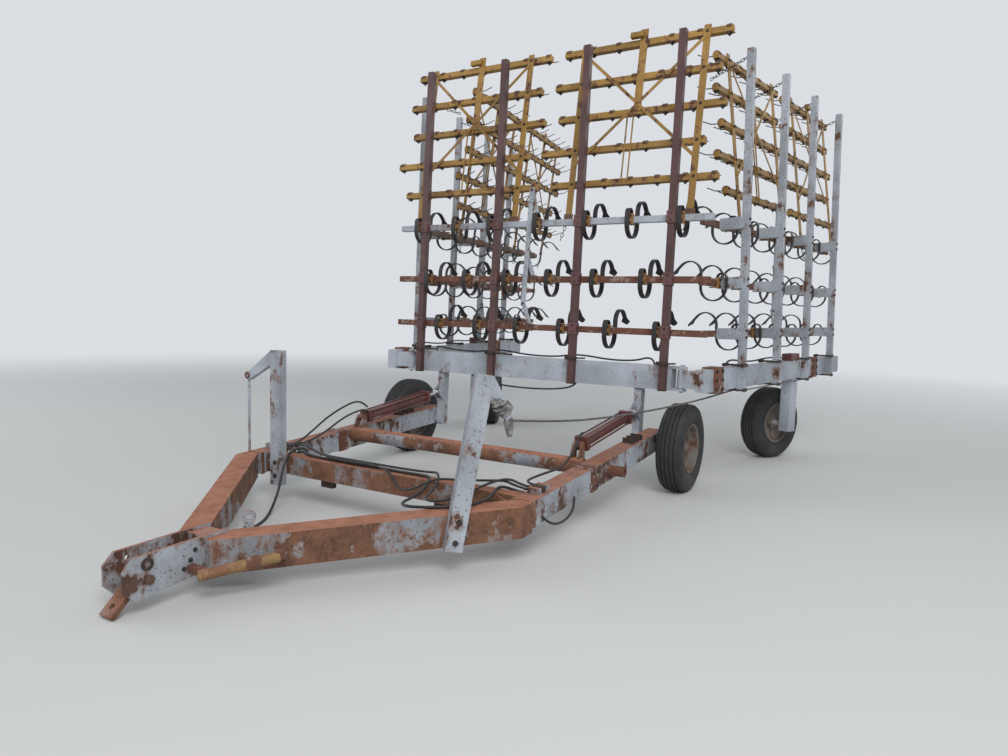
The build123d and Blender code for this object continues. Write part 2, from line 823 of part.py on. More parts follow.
def harrow(tilt):
    """One harrow section, drawn flat in XZ with the middle of its top bar at the origin."""
    member_drop = (member_height + harrow_bar / 2 * sin(tilt) - fit_gap) / cos(tilt)
    rod_planes = []
    for step, shift in harrow_table:
        drop = step * harrow_pitch
        for n in range(harrow_tines):
            x = shift + (n - (harrow_tines - 1) / 2) * harrow_width / harrow_tines
            rod_planes.append(
                Plane(
                    origin=(x, 0, -drop),
                    x_dir=(1, 0, 0),
                    z_dir=(0, cos(radians(harrow_rod_rise)), sin(radians(harrow_rod_rise))),
                )
            )
    bar_face = harrow_bar / 2
    with BuildPart() as section:
        with BuildSketch(Plane.XZ.offset(-bar_face)):
            with Locations(*[(shift, -step * harrow_pitch) for step, shift in harrow_table]):
                Rectangle(harrow_width, harrow_bar)
        extrude(amount=harrow_bar)
        with BuildSketch(Plane.XZ.offset(bar_face)):
            with Locations((-harrow_member_x, harrow_member_rise), (harrow_member_x, harrow_member_rise)):
                Rectangle(strap_width, harrow_member_rise + member_drop, align=(Align.CENTER, Align.MAX))
            with Locations((0, harrow_mid_rise)):
                Rectangle(strap_width, harrow_mid_rise + 2 * harrow_pitch, align=(Align.CENTER, Align.MAX))
        extrude(amount=strap_thick)
        with BuildSketch(Plane.XZ.offset(bar_face + strap_thick / 2)):
            with Locations((0, harrow_mid_rise - strap_width / 2)):
                Rectangle(strap_width, strap_width)
        extrude(amount=stub_length)
        with BuildSketch(Plane.XZ.offset(bar_face + strap_thick)):
            for side in (-1, 1):
                with Locations(Location((0, -brace_drop / 2 - 40), side * brace_turn)):
                    Rectangle(brace_length, brace_width)
        extrude(amount=strap_thick / 2)
        with BuildSketch(Plane.XZ.offset(bar_face)):
            with Locations((-90, -2 * harrow_pitch), (-30, -2 * harrow_pitch)):
                Rectangle(link_rod, 2 * harrow_pitch, align=(Align.CENTER, Align.MAX))
        extrude(amount=link_rod)
        with BuildSketch(*rod_planes):
            RegularPolygon(radius=harrow_rod * 0.65, side_count=3)
        extrude(amount=harrow_rod_length)
    return section.part


# The harrow's side members come down onto the bar of the top row
top_row_z = row_table[0][1]
member_y = -(harrow_bar + strap_thick) / 2
member_height = harrow_top_z - top_row_z - bar_size / 2
centre_harrow_tilt = atan2(harrow_top_y + member_y - bar_y, member_height)
wing_harrow_tilt = atan2(harrow_top_y + member_y - wing_bar_y, member_height)
harrow_pitch = member_height / harrow_steps
brace_drop = 3.36 * harrow_pitch
brace_length = hypot(2 * harrow_member_x, brace_drop)
brace_turn = degrees(atan2(brace_drop, 2 * harrow_member_x))


def harrow_plane(x, tilt):
    """Plane that stands a harrow section behind the ribs, its lower end nearer to them."""
    return Plane(origin=(x, harrow_top_y, harrow_top_z), x_dir=(1, 0, 0), z_dir=(0, sin(tilt), cos(tilt)))


centre_section = harrow(centre_harrow_tilt)
for side, name in ((1, "left"), (-1, "right")):
    placed = harrow_plane(side * centre_harrow_x, centre_harrow_tilt).from_local_coords(centre_section)
    keep(on_frame(placed), f"centre_harrow_{name}")

# Wing toolbar with its elbow; the hub between the lugs follows the lean of the pin
hub_height = toolbar_depth - 2 * lug_thick - 2 * running_gap
leg_top_z = pin_mid_z - wing_toolbar_depth / 2 - running_gap
with BuildPart() as wing_beam:
    with BuildSketch(Plane.YZ.offset(wing_toolbar_start)):
        with Locations((wing_toolbar_y, pin_mid_z)):
            Rectangle(wing_toolbar_width, wing_toolbar_depth)
    extrude(amount=wing_toolbar_end - wing_toolbar_start)
with BuildPart() as elbow:
    with BuildSketch(Plane.XY.offset(pin_mid_z - hub_height / 2 + running_gap)):
        with BuildLine():
            Polyline(
                (-hub_radius + 5, 0),
                (hub_radius - 5, 0),
                (elbow_reach, wing_toolbar_y + 20),
                (wing_toolbar_start, wing_toolbar_y + 20),
                close=True,
            )
        make_face()
    extrude(amount=hub_height - 2 * running_gap)
    with BuildSketch(Plane.XY.offset(leg_top_z + fit_gap)):
        with Locations((leg_u, wing_toolbar_y)):
            Circle(leg_boss / 2)
    extrude(amount=running_gap + 10)
with BuildPart() as hub:
    with BuildSketch(Plane.XY.offset(pin_mid_z - hub_height / 2)):
        with Locations((wing_pin_x, pin_y)):
            Circle(hub_radius)
    extrude(amount=hub_height)
with BuildPart() as hub_bore:
    with BuildSketch(Plane.XY.offset(pin_mid_z - toolbar_depth)):
        with Locations((wing_pin_x, pin_y)):
            Circle(wing_pin_od / 2 + fit_gap)
    extrude(amount=2 * toolbar_depth)
wing_toolbar = on_wing_gear(wing_beam.part) + on_wing(elbow.part) + on_frame(hub.part) - on_frame(hub_bore.part)
keep(wing_toolbar, "wing_toolbar_left")
keep(mirrored(wing_toolbar), "wing_toolbar_right")

# Wing ribs with the brackets that carry the rows
wing_rib_places = [wing_first_rib + k * rib_pitch for k in range(rib_count)]
bracket_front = wing_bar_y - bar_size / 2 - fit_gap
with BuildPart() as wing_ribs:
    with BuildSketch(Plane.XY.offset(toolbar_bottom_z)):
        with Locations(*[(u, wing_rib_y - fit_gap) for u in wing_rib_places]):
            Rectangle(rib_size, rib_size)
    extrude(amount=wing_rib_top_z - toolbar_bottom_z)
    with BuildSketch(*[Plane.YZ.offset(u) for u in wing_rib_places]):
        for _, z, _, _, _, _ in row_table:
            with Locations(((wing_rib_y + bracket_front) / 2, z)):
                Rectangle(bracket_front - wing_rib_y, bracket_depth)
    extrude(amount=bracket_width / 2, both=True)
keep(on_wing_gear(wing_ribs.part), "wing_ribs_left")
keep(mirrored(on_wing_gear(wing_ribs.part)), "wing_ribs_right")

for name, z, _, _, first, count in row_table:
    places = clear_places(first, wing_tine_pitch, count, wing_rib_places, bracket_clearance)
    row = on_wing_gear(tine_row(wing_bar_y, z, wing_bar_start, wing_bar_end, places))
    keep(row, f"wing_row_{name}_left")
    keep(mirrored(row), f"wing_row_{name}_right")

wing_section = harrow(wing_harrow_tilt)
for name, place in wing_harrows:
    placed = on_wing_gear(harrow_plane(place, wing_harrow_tilt).from_local_coords(wing_section))
    keep(placed, f"wing_harrow_{name}_left")
    keep(mirrored(placed), f"wing_harrow_{name}_right")

# Wing legs
with BuildPart() as wing_leg:
    with BuildSketch(Plane.XY.offset(leg_bottom_z)):
        Rectangle(leg_size, leg_size)
    extrude(amount=leg_top_z - leg_bottom_z)
    with BuildSketch(Plane.XZ.offset(-leg_size / 2)):
        with Locations((0, axle_z)):
            Circle(spindle_od / 2)
    extrude(amount=-(wing_wheel_offset - leg_size / 2 + hub_length / 2 - 20 - fit_gap))
placed = on_wing(leg_plane.from_local_coords(wing_leg.part))
keep(placed, "wing_leg_left")
keep(mirrored(placed), "wing_leg_right")

# Lift cylinders: barrels with tie rods, and their rods
eye_place = on_frame(Vector(cylinder_x, rod_eye_y, rod_eye_z))
cyl_run = hypot(eye_place.Y - cylinder_base_y, eye_place.Z - cylinder_base_z)
cyl_tilt = degrees(atan2(eye_place.Z - cylinder_base_z, eye_place.Y - cylinder_base_y))
cylinder_plane = Plane(
    origin=(cylinder_x, cylinder_base_y, cylinder_base_z),
    x_dir=(0, cos(radians(cyl_tilt)), sin(radians(cyl_tilt))),
    z_dir=(0, -sin(radians(cyl_tilt)), cos(radians(cyl_tilt))),
)
block_start = eye_od / 2 + 12
head_start = barrel_length - block_length
tie_offset = barrel_block / 2 - tie_rod / 2 - 4
with BuildPart() as barrel:
    with BuildSketch(Plane.XZ.offset(-eye_width / 2)):
        Circle(eye_od / 2)
        with Locations((block_start / 2 + 2, 0)):
            Rectangle(block_start + 4, eye_shank)
        Circle(cylinder_pin_od / 2, mode=Mode.SUBTRACT)
    extrude(amount=eye_width)
    with BuildSketch(Plane.YZ.offset(block_start), Plane.YZ.offset(head_start)):
        Rectangle(barrel_block, barrel_block)
    extrude(amount=block_length)
    with BuildSketch(Plane.YZ.offset(block_start + 10)):
        Circle(barrel_od / 2)
    extrude(amount=head_start - block_start)
    with BuildSketch(Plane.YZ.offset(block_start + 10)):
        with GridLocations(2 * tie_offset, 2 * tie_offset, 2, 2):
            RegularPolygon(radius=tie_rod / 2, side_count=6)
    extrude(amount=head_start - block_start)
    with BuildSketch(Plane.YZ.offset(barrel_length)):
        Circle(rod_od / 2 + 0.05)
    extrude(amount=-(barrel_length - 2 * block_start), mode=Mode.SUBTRACT)
rod_start = head_start - 40 - rod_stroke
with BuildPart() as rod:
    with BuildSketch(Plane.YZ.offset(rod_start)):
        Circle(rod_od / 2)
    extrude(amount=cyl_run - eye_od / 2 + 6 - rod_start)
    with BuildSketch(Plane.XZ.offset(-eye_width / 2)):
        with Locations((cyl_run, 0)):
            Circle(eye_od / 2)
            Circle(cylinder_pin_od / 2, mode=Mode.SUBTRACT)
    extrude(amount=eye_width)
for name, piece in (("lift_cylinder", barrel.part), ("lift_rod", rod.part)):
    placed = cylinder_plane.from_local_coords(piece)
    keep(placed, f"{name}_left")
    keep(mirrored(placed), f"{name}_right")

# Every piece moves along by the same distance, and then the files are written
front_end = min(piece.bounding_box().min.Y for piece in pieces.values())
rear_end = max(piece.bounding_box().max.Y for piece in pieces.values())
shift_y = -(front_end + rear_end) / 2
for name, piece in pieces.items():
    moved = Pos(0, shift_y, 0) * piece
    moved.label = name
    export_step(moved, f"parts/{name}.step")

# Values that the record repeats
print("shift", shift_y, "from", front_end, "to", rear_end)
print("tongue", tongue_plane.origin, "drop", tongue_drop, "hitch bore", tongue_plane.from_local_coords(Vector(tongue_reach - 55, 0, 0)))
print("lift cylinder", cyl_run, "tilt", cyl_tilt, "eye", eye_place)
print("wing pin", wing_plane.origin, "mid height", pin_mid_z)
print("wing leg", on_wing(leg_plane.from_local_coords(Vector(0, 0, axle_z))))
print("wing wheel", on_wing(Vector(*wing_wheel_plane.origin)))
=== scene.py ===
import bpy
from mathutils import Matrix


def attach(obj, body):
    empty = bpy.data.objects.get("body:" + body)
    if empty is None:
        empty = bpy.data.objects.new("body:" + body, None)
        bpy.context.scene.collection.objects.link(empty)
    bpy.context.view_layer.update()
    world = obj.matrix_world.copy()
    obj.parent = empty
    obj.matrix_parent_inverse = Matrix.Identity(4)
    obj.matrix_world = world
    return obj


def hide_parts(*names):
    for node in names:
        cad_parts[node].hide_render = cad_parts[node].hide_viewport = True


bl_info = {
    "name": "Folded tine weeder",
    "version": (1, 0, 0),
    "blender": (4, 5, 0),
    "location": "3D View > Sidebar > Weeder",
    "description": "Dresses a packed tine weeder with its tines, harrows, tyres, hoses, paint and rust",
    "category": "Object",
}

import math
import random

import bpy
from bpy.props import FloatProperty, FloatVectorProperty, PointerProperty
from mathutils import Matrix, Vector

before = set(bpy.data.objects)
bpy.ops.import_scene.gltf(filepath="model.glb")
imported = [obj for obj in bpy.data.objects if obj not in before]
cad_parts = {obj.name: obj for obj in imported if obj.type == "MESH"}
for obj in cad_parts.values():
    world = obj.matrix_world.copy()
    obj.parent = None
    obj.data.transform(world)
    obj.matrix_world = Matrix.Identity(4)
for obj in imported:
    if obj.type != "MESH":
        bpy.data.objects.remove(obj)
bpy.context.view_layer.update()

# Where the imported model's bodies stand, in metres
SHIFT_Y = 0.0127558
AXLE_Z = 0.400
FRAME_LEAN = math.radians(2.5)
WING_SPLAY = math.radians(9.0)
WING_LEAN = math.radians(1.5)
PIN_X = 1.533
PIN_Y = -0.0147851
PIN_MID_Z = 1.023
MAIN_WHEEL_X = 1.545
WING_LEG_X = 2.230
WING_LEG_TURN = math.radians(16.1)
WING_WHEEL_REACH = 0.228

# Bars and ribs of the centre frame and of the wings
BAR = 0.060
RIB = 0.064
RIB_PITCH = 0.914
RIB_Y = -0.102
BAR_Y = -0.0397
CENTRE_RIBS = [(k - 1.5) * RIB_PITCH for k in range(4)]
CENTRE_BAR_END = 1.730
WING_RIB_Y = -0.292
WING_BAR_Y = -0.022
WING_TOOLBAR_Y = -0.210
WING_RIBS = [0.640 + k * RIB_PITCH for k in range(4)]
WING_BAR_ENDS = (0.290, 3.960)

# Rows of tines: the bar's height, then the first tine's place and the count of tines
ROW_HEIGHTS = {"top": 2.464, "middle": 1.912, "bottom": 1.433}
CENTRE_TINES = {"top": (-1.450, 7), "middle": (-1.289, 6), "bottom": (-1.128, 6)}
WING_TINES = {"top": (0.790, 7), "middle": (0.560, 7), "bottom": (0.950, 6)}
CENTRE_PITCH = 1.450 / 3
WING_PITCH = 0.510
CENTRE_CLEARANCE = 0.076
WING_CLEARANCE = 0.080
TINE_SLACK = 0.02

# Harrows: the top bar's place in YZ, and each bar's sideways shift from the top one down
HARROW_TOP = (0.190, 4.160)
HARROW_WIDTH = 1.657
HARROW_SHIFTS = [0.0, -0.070, 0.0, -0.155, -0.010]
MEMBER_HEIGHT = HARROW_TOP[1] - ROW_HEIGHTS["top"] - BAR / 2
MEMBER_X = 0.600
MEMBER_Y = -0.036
CENTRE_HARROW_X = 0.906
WING_HARROWS = {"inner": 1.761, "outer": 3.614}

# The carrier's rails, which slope down towards the hitch, its front beam and its hitch jaw
RAIL_X = 1.265
RAIL_SLOPE = math.radians(3.2)
RAIL_TOP_AT_AXLE = 0.520
RAIL_HALF = 0.085
FRONT_BEAM_Y = -2.310
JAW_FACE_X = 0.0955

# Where the photograph was taken from, by the solved camera
VIEW_SPOT = (3.507, -6.485 + SHIFT_Y, 1.614)
VIEW_YAW = 0.535656
VIEW_PITCH = 0.0946455
VIEW_ROLL = 0.0267949
FOCAL_PIXELS = 732.19
PHOTO_WIDTH = 1008
SENSOR_WIDTH = 36.0

# Light and air behind the machine
SKY = (0.80, 0.86, 0.95)
BACKDROP = (0.80, 0.83, 0.87)
BACKDROP_LEVEL = 0.88
FLOOR_SIZE = 120
FLOOR_FADE = (6.5, 19.0)


class WeederSizes(bpy.types.PropertyGroup):
    """Sizes that a user may change"""

    tine_width: FloatProperty(
        name="Tine width", description="Width of a spring tine's strip", default=0.045, unit="LENGTH"
    )
    tine_thick: FloatProperty(
        name="Tine thickness", description="Thickness of a spring tine's strip", default=0.012, unit="LENGTH"
    )
    tread_depth: FloatProperty(
        name="Tread depth", description="Depth of the tyres' grooves", default=0.011, unit="LENGTH"
    )
    harrow_rod: FloatProperty(
        name="Harrow rod", description="Diameter of a harrow rod", default=0.011, unit="LENGTH"
    )


class WeederColours(bpy.types.PropertyGroup):
    """Colours of the paints and of the rust"""

    pale: FloatVectorProperty(
        name="Pale paint", description="Old white paint", subtype="COLOR", size=3, default=(0.36, 0.39, 0.43)
    )
    maroon: FloatVectorProperty(
        name="Maroon paint", description="Ribs and sleeves", subtype="COLOR", size=3,
        default=(0.075, 0.030, 0.030),
    )
    ochre: FloatVectorProperty(
        name="Ochre paint", description="Harrows", subtype="COLOR", size=3, default=(0.30, 0.165, 0.032)
    )
    rust: FloatVectorProperty(
        name="Rust", description="Open rust on steel", subtype="COLOR", size=3, default=(0.235, 0.105, 0.058)
    )
    dark_rust: FloatVectorProperty(
        name="Dark rust", description="Rust in the pits", subtype="COLOR", size=3,
        default=(0.045, 0.022, 0.015),
    )
    rubber: FloatVectorProperty(
        name="Rubber", description="Tyres", subtype="COLOR", size=3, default=(0.018, 0.018, 0.020)
    )


class WeederStage(bpy.types.PropertyGroup):
    """Light and floor"""

    key_power: FloatProperty(
        name="Key light", description="Power of the large lamp", default=1050.0, min=0.0
    )
    sky_level: FloatProperty(
        name="Sky level", description="Strength of the even light", default=0.45, min=0.0
    )
    floor: FloatVectorProperty(
        name="Floor", description="Colour of the floor", subtype="COLOR", size=3, default=(0.60, 0.60, 0.58)
    )


# Places


def at(x, y, z):
    """Matrix that moves a thing to a place."""
    return Matrix.Translation((x, y, z))


def turned(degrees, axis):
    """Matrix that turns a thing about an axis through the origin."""
    return Matrix.Rotation(math.radians(degrees), 4, axis)


def tilt_about_x(angle, y, z):
    """Matrix that leans things by angle towards +Y about a line along X."""
    return at(0, y, z) @ Matrix.Rotation(-angle, 4, "X") @ at(0, -y, -z)


def rail_top(y):
    """Height of the carrier's sloping top face."""
    return RAIL_TOP_AT_AXLE + y * math.tan(RAIL_SLOPE)


# A bolt stands along +Z: these turn its head to the front, to the rear and outwards
TO_FRONT = turned(90, "X")
TO_REAR = turned(-90, "X")
OUTWARDS = turned(90, "Y")

FLIP = Matrix.Diagonal((-1, 1, 1, 1))
ON_CARRIER = at(0, SHIFT_Y, 0)
TONGUE_TURN = math.atan2(1.380, 1.2047)
ON_LEFT_POST = at(1.018, -2.9185 + SHIFT_Y, 0) @ Matrix.Rotation(TONGUE_TURN, 4, "Z") @ turned(9.5, "Y")
ON_RIGHT_POST = at(-1.010, -2.370 + SHIFT_Y, 0) @ FLIP
ON_FRAME = ON_CARRIER @ tilt_about_x(FRAME_LEAN, 0, AXLE_Z)
ON_WING = Matrix(
    (
        (math.sin(WING_SPLAY), -math.cos(WING_SPLAY), 0, PIN_X),
        (math.cos(WING_SPLAY), math.sin(WING_SPLAY), 0, PIN_Y + SHIFT_Y),
        (0, 0, 1, 0),
        (0, 0, 0, 1),
    )
)
ON_GEAR = ON_WING @ tilt_about_x(WING_LEAN, WING_TOOLBAR_Y, PIN_MID_Z)
CENTRE_TILT = math.atan2(HARROW_TOP[0] + MEMBER_Y - BAR_Y, MEMBER_HEIGHT)
WING_TILT = math.atan2(HARROW_TOP[0] + MEMBER_Y - WING_BAR_Y, MEMBER_HEIGHT)


def clear_places(first, pitch, count, supports, clearance):
    """Places of a row's tines, each moved to the nearer side of a support that it would meet."""
    places = []
    for k in range(count):
        x = first + k * pitch
        for support in supports:
            if abs(x - support) < clearance:
                x = support + clearance if x > support else support - clearance
        places.append(x)
    return places


# Modelling


def only(piece):
    """Select one piece alone and make it the active one."""
    bpy.ops.object.select_all(action="DESELECT")
    piece.select_set(True)
    bpy.context.view_layer.objects.active = piece


def added(name):
    """Name the primitive that was just added and put its place into its mesh."""
    piece = bpy.context.view_layer.objects.active
    piece.name = name
    piece.data.name = name
    bpy.ops.object.transform_apply(location=True, rotation=True, scale=True)
    return piece


def block(name, size, place=(0, 0, 0), turn=(0, 0, 0), edge=0.003, segments=2):
    """A box with rounded edges."""
    bpy.ops.object.select_all(action="DESELECT")
    bpy.ops.mesh.primitive_cube_add(size=1, location=place, rotation=turn)
    bpy.context.object.scale = size
    piece = added(name)
    return rounded(piece, edge, segments) if edge else piece


def rounded(piece, width, segments=2, angle=35):
    """Bevel the sharp edges of a piece."""
    bevel = piece.modifiers.new("edge", "BEVEL")
    bevel.width = width
    bevel.segments = segments
    bevel.limit_method = "ANGLE"
    bevel.angle_limit = math.radians(angle)
    only(piece)
    bpy.ops.object.modifier_apply(modifier=bevel.name)
    return piece


def smooth(piece, angle=40):
    """Shade a piece smooth up to this angle between its faces."""
    only(piece)
    bpy.ops.object.shade_smooth_by_angle(angle=math.radians(angle))
    return piece


def put(piece, matrix):
    """Move a piece's mesh, and turn its faces out again if it was mirrored."""
    piece.data.transform(matrix)
    if matrix.to_3x3().determinant() < 0:
        piece.data.flip_normals()
    return piece


def copied(piece, matrix, name="copy"):
    """A copy of a piece with its own mesh, moved by a matrix."""
    twin = piece.copy()
    twin.data = piece.data.copy()
    twin.name = name
    bpy.context.scene.collection.objects.link(twin)
    return put(twin, matrix)


def joined(name, pieces):
    """Join pieces into one object."""
    bpy.ops.object.select_all(action="DESELECT")
    for piece in pieces:
        piece.select_set(True)
    bpy.context.view_layer.objects.active = pieces[0]
    if len(pieces) > 1:
        bpy.ops.object.join()
    pieces[0].name = name
    pieces[0].data.name = name
    return pieces[0]


def repeated(name, master, matrices):
    """Copies of a master joined into one object; the master goes."""
    twins = [copied(master, matrix) for matrix in matrices]
    bpy.data.objects.remove(master)
    return joined(name, twins)


def rod(name, start, end, radius, sides=12, edge=0.0):
    """A round bar between two points."""
    start, end = Vector(start), Vector(end)
    run = end - start
    bpy.ops.object.select_all(action="DESELECT")
    turn = run.to_track_quat("Z", "Y").to_euler()
    bpy.ops.mesh.primitive_cylinder_add(
        vertices=sides, radius=radius, depth=run.length, location=(start + end) / 2, rotation=turn
    )
    piece = added(name)
    if edge:
        rounded(piece, edge)
    return smooth(piece)


def plate(name, outline, thick, edge=0.0015):
    """A flat plate cut to an outline in XY and extruded both ways along Z."""
    bpy.ops.object.select_all(action="DESELECT")
    bpy.ops.mesh.primitive_circle_add(vertices=len(outline), fill_type="NGON")
    piece = added(name)
    for vertex, (x, y) in zip(piece.data.vertices, outline):
        vertex.co = (x, y, -thick / 2)
    bpy.ops.object.mode_set(mode="EDIT")
    bpy.ops.mesh.select_all(action="SELECT")
    bpy.ops.mesh.extrude_region_move(TRANSFORM_OT_translate={"value": (0, 0, thick)})
    bpy.ops.mesh.select_all(action="SELECT")
    bpy.ops.mesh.normals_make_consistent(inside=False)
    bpy.ops.object.mode_set(mode="OBJECT")
    if edge:
        rounded(piece, edge, 1)
    return piece


def lathed(name, profile, steps):
    """A closed profile of (along X, radius) points spun about the X axis."""
    bpy.ops.object.select_all(action="DESELECT")
    bpy.ops.mesh.primitive_circle_add(vertices=len(profile), fill_type="NOTHING")
    piece = added(name)
    for vertex, (x, radius) in zip(piece.data.vertices, profile):
        vertex.co = (x, 0, radius)
    bpy.ops.object.mode_set(mode="EDIT")
    bpy.ops.mesh.select_all(action="SELECT")
    bpy.ops.mesh.spin(steps=steps, angle=math.tau, center=(0, 0, 0), axis=(1, 0, 0))
    bpy.ops.mesh.select_all(action="SELECT")
    bpy.ops.mesh.remove_doubles(threshold=0.00002)
    bpy.ops.mesh.normals_make_consistent(inside=False)
    bpy.ops.object.mode_set(mode="OBJECT")
    return smooth(piece)


def swept(name, outline, place, heading, runs):
    """Sweep a closed outline along straight runs and arcs in the YZ plane.

    outline is (across X, across the path) points, place the start in YZ, and heading its direction in degrees
    from +Y towards +Z. Each run is (length, radius, turn in degrees, steps).
    """
    y, z = place
    bpy.ops.object.select_all(action="DESELECT")
    bpy.ops.mesh.primitive_circle_add(vertices=len(outline), fill_type="NOTHING")
    piece = added(name)
    side = math.radians(heading + 90)
    for vertex, (across, out) in zip(piece.data.vertices, outline):
        vertex.co = (across, y + out * math.cos(side), z + out * math.sin(side))
    bpy.ops.object.mode_set(mode="EDIT")
    bpy.ops.mesh.select_all(action="SELECT")
    bpy.ops.mesh.edge_face_add()
    for length, radius, turn, steps in runs:
        if length:
            dy = length * math.cos(math.radians(heading))
            dz = length * math.sin(math.radians(heading))
            bpy.ops.mesh.extrude_region_move(TRANSFORM_OT_translate={"value": (0, dy, dz)})
            y += dy
            z += dz
        if turn:
            way = 1 if turn > 0 else -1
            left = math.radians(heading + 90 * way)
            centre = (0, y + radius * math.cos(left), z + radius * math.sin(left))
            bpy.ops.mesh.spin(steps=steps, angle=-math.radians(turn), center=centre, axis=(1, 0, 0))
            heading += turn
            back = math.radians(heading + 90 * way)
            y = centre[1] - radius * math.cos(back)
            z = centre[2] - radius * math.sin(back)
    bpy.ops.mesh.select_all(action="SELECT")
    bpy.ops.mesh.remove_doubles(threshold=0.00002)
    bpy.ops.mesh.select_all(action="DESELECT")
    bpy.ops.mesh.select_interior_faces()
    bpy.ops.mesh.delete(type="FACE")
    bpy.ops.mesh.select_all(action="SELECT")
    bpy.ops.mesh.normals_make_consistent(inside=False)
    bpy.ops.object.mode_set(mode="OBJECT")
    return piece, (y, z), heading


def tube(name, points, radius, resolution=6, sides=3):
    """A round hose or wire whose line is a smooth spline with these control points."""
    curve = bpy.data.curves.new(name, "CURVE")
    curve.dimensions = "3D"
    curve.bevel_depth = radius
    curve.bevel_resolution = sides
    curve.resolution_u = resolution
    curve.use_fill_caps = True
    spline = curve.splines.new("NURBS")
    spline.points.add(len(points) - 1)
    for point, place in zip(spline.points, points):
        point.co = (*place, 1)
    spline.order_u = 3
    spline.use_endpoint_u = True
    piece = bpy.data.objects.new(name, curve)
    bpy.context.scene.collection.objects.link(piece)
    return piece


def bolt(name, radius=0.012, height=0.010, shank=0.0):
    """A hexagon head on its washer, standing along +Z from the origin."""
    bpy.ops.object.select_all(action="DESELECT")
    place = (0, 0, height / 2 + 0.002)
    bpy.ops.mesh.primitive_cylinder_add(vertices=6, radius=radius, depth=height, location=place)
    head = rounded(added(name), 0.0012, 1)
    washer = rod("washer", (0, 0, 0), (0, 0, 0.0025), radius * 1.25, 12)
    parts = [head, washer]
    if shank:
        parts.append(rod("shank", (0, 0, height), (0, 0, height + shank), radius * 0.5, 8))
    return joined(name, parts)


def chain(name, start, end, link, wire):
    """A hanging chain of oval links between two points."""
    start, end = Vector(start), Vector(end)
    run = end - start
    pitch = link - 2 * wire
    count = max(2, round(run.length / pitch))
    bpy.ops.object.select_all(action="DESELECT")
    bpy.ops.mesh.primitive_torus_add(
        major_segments=10, minor_segments=5, major_radius=link * 0.32, minor_radius=wire
    )
    master = added(name)
    for vertex in master.data.vertices:
        if abs(vertex.co.x) > 0.001:
            vertex.co.x += math.copysign(link * 0.16, vertex.co.x)
    aim = run.to_track_quat("X", "Z").to_matrix().to_4x4()
    places = []
    for k in range(count):
        spot = start + run * ((k + 0.5) / count)
        places.append(Matrix.Translation(spot) @ aim @ Matrix.Rotation(math.pi / 2 * (k % 2), 4, "X"))
    return smooth(repeated(name, master, places), 60)


def ridden(piece, body):
    """Give a piece its body."""
    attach(piece, body)


def painted(piece, finish):
    """Give a piece one finish, by the finish's name."""
    piece.data.materials.clear()
    piece.data.materials.append(finishes[finish])
    return piece


def both_sides(piece, name, body, slot, *nodes):
    """Place a piece that was made for the left on both sides of the machine."""
    twin = copied(piece, FLIP, f"{name}_right")
    piece.name = f"{name}_left"
    for side, one in (("left", piece), ("right", twin)):
        ridden(one, body.format(side=side))
        if nodes:
            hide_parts(*[f"{node}_{side}" for node in nodes])


# Finishes


def group(name, inputs, outputs):
    """An empty node group with named sockets; an input's value is its default."""
    tree = bpy.data.node_groups.new(name, "ShaderNodeTree")
    for label, value in inputs:
        kind = "NodeSocketFloat"
        if value is None:
            kind = "NodeSocketVector"
        elif isinstance(value, tuple):
            kind = "NodeSocketColor"
        socket = tree.interface.new_socket(name=label, in_out="INPUT", socket_type=kind)
        if value is not None:
            socket.default_value = (*value, 1) if isinstance(value, tuple) else value
    for label, kind in outputs:
        tree.interface.new_socket(name=label, in_out="OUTPUT", socket_type=kind)
    return tree, tree.nodes.new("NodeGroupInput"), tree.nodes.new("NodeGroupOutput")


def feed(tree, socket, value):
    """Link a socket or set a plain value."""
    if isinstance(value, bpy.types.NodeSocket):
        tree.links.new(value, socket)
    elif isinstance(value, (tuple, list)) and len(value) == 3 and socket.type == "RGBA":
        socket.default_value = (*value, 1)
    else:
        socket.default_value = value


def maths(tree, kind, first, second, clamp=False):
    """The result of one Math node."""
    node = tree.nodes.new("ShaderNodeMath")
    node.operation = kind
    node.use_clamp = clamp
    feed(tree, node.inputs[0], first)
    feed(tree, node.inputs[1], second)
    return node.outputs[0]


def mixed(tree, mask, first, second):
    """One colour laid over another where the mask is 1."""
    node = tree.nodes.new("ShaderNodeMix")
    node.data_type = "RGBA"
    feed(tree, node.inputs["Factor"], mask)
    feed(tree, node.inputs[6], first)
    feed(tree, node.inputs[7], second)
    return node.outputs[2]


def ranged(tree, value, low, high, to_low=0.0, to_high=1.0):
    """A soft step between two values."""
    node = tree.nodes.new("ShaderNodeMapRange")
    node.interpolation_type = "SMOOTHSTEP"
    feed(tree, node.inputs["Value"], value)
    feed(tree, node.inputs["From Min"], low)
    feed(tree, node.inputs["From Max"], high)
    feed(tree, node.inputs["To Min"], to_low)
    feed(tree, node.inputs["To Max"], to_high)
    return node.outputs["Result"]


def noise(tree, vector, scale, detail, rough, distortion=0.0):
    """A cloudy pattern between 0 and 1."""
    node = tree.nodes.new("ShaderNodeTexNoise")
    feed(tree, node.inputs["Vector"], vector)
    feed(tree, node.inputs["Scale"], scale)
    node.inputs["Detail"].default_value = detail
    node.inputs["Roughness"].default_value = rough
    node.inputs["Distortion"].default_value = distortion
    return node.outputs["Fac"]


def stretched(tree, vector, scale):
    """Object coordinates scaled by axis, so that a pattern runs out into streaks."""
    node = tree.nodes.new("ShaderNodeMapping")
    feed(tree, node.inputs["Vector"], vector)
    node.inputs["Scale"].default_value = scale
    return node.outputs["Vector"]


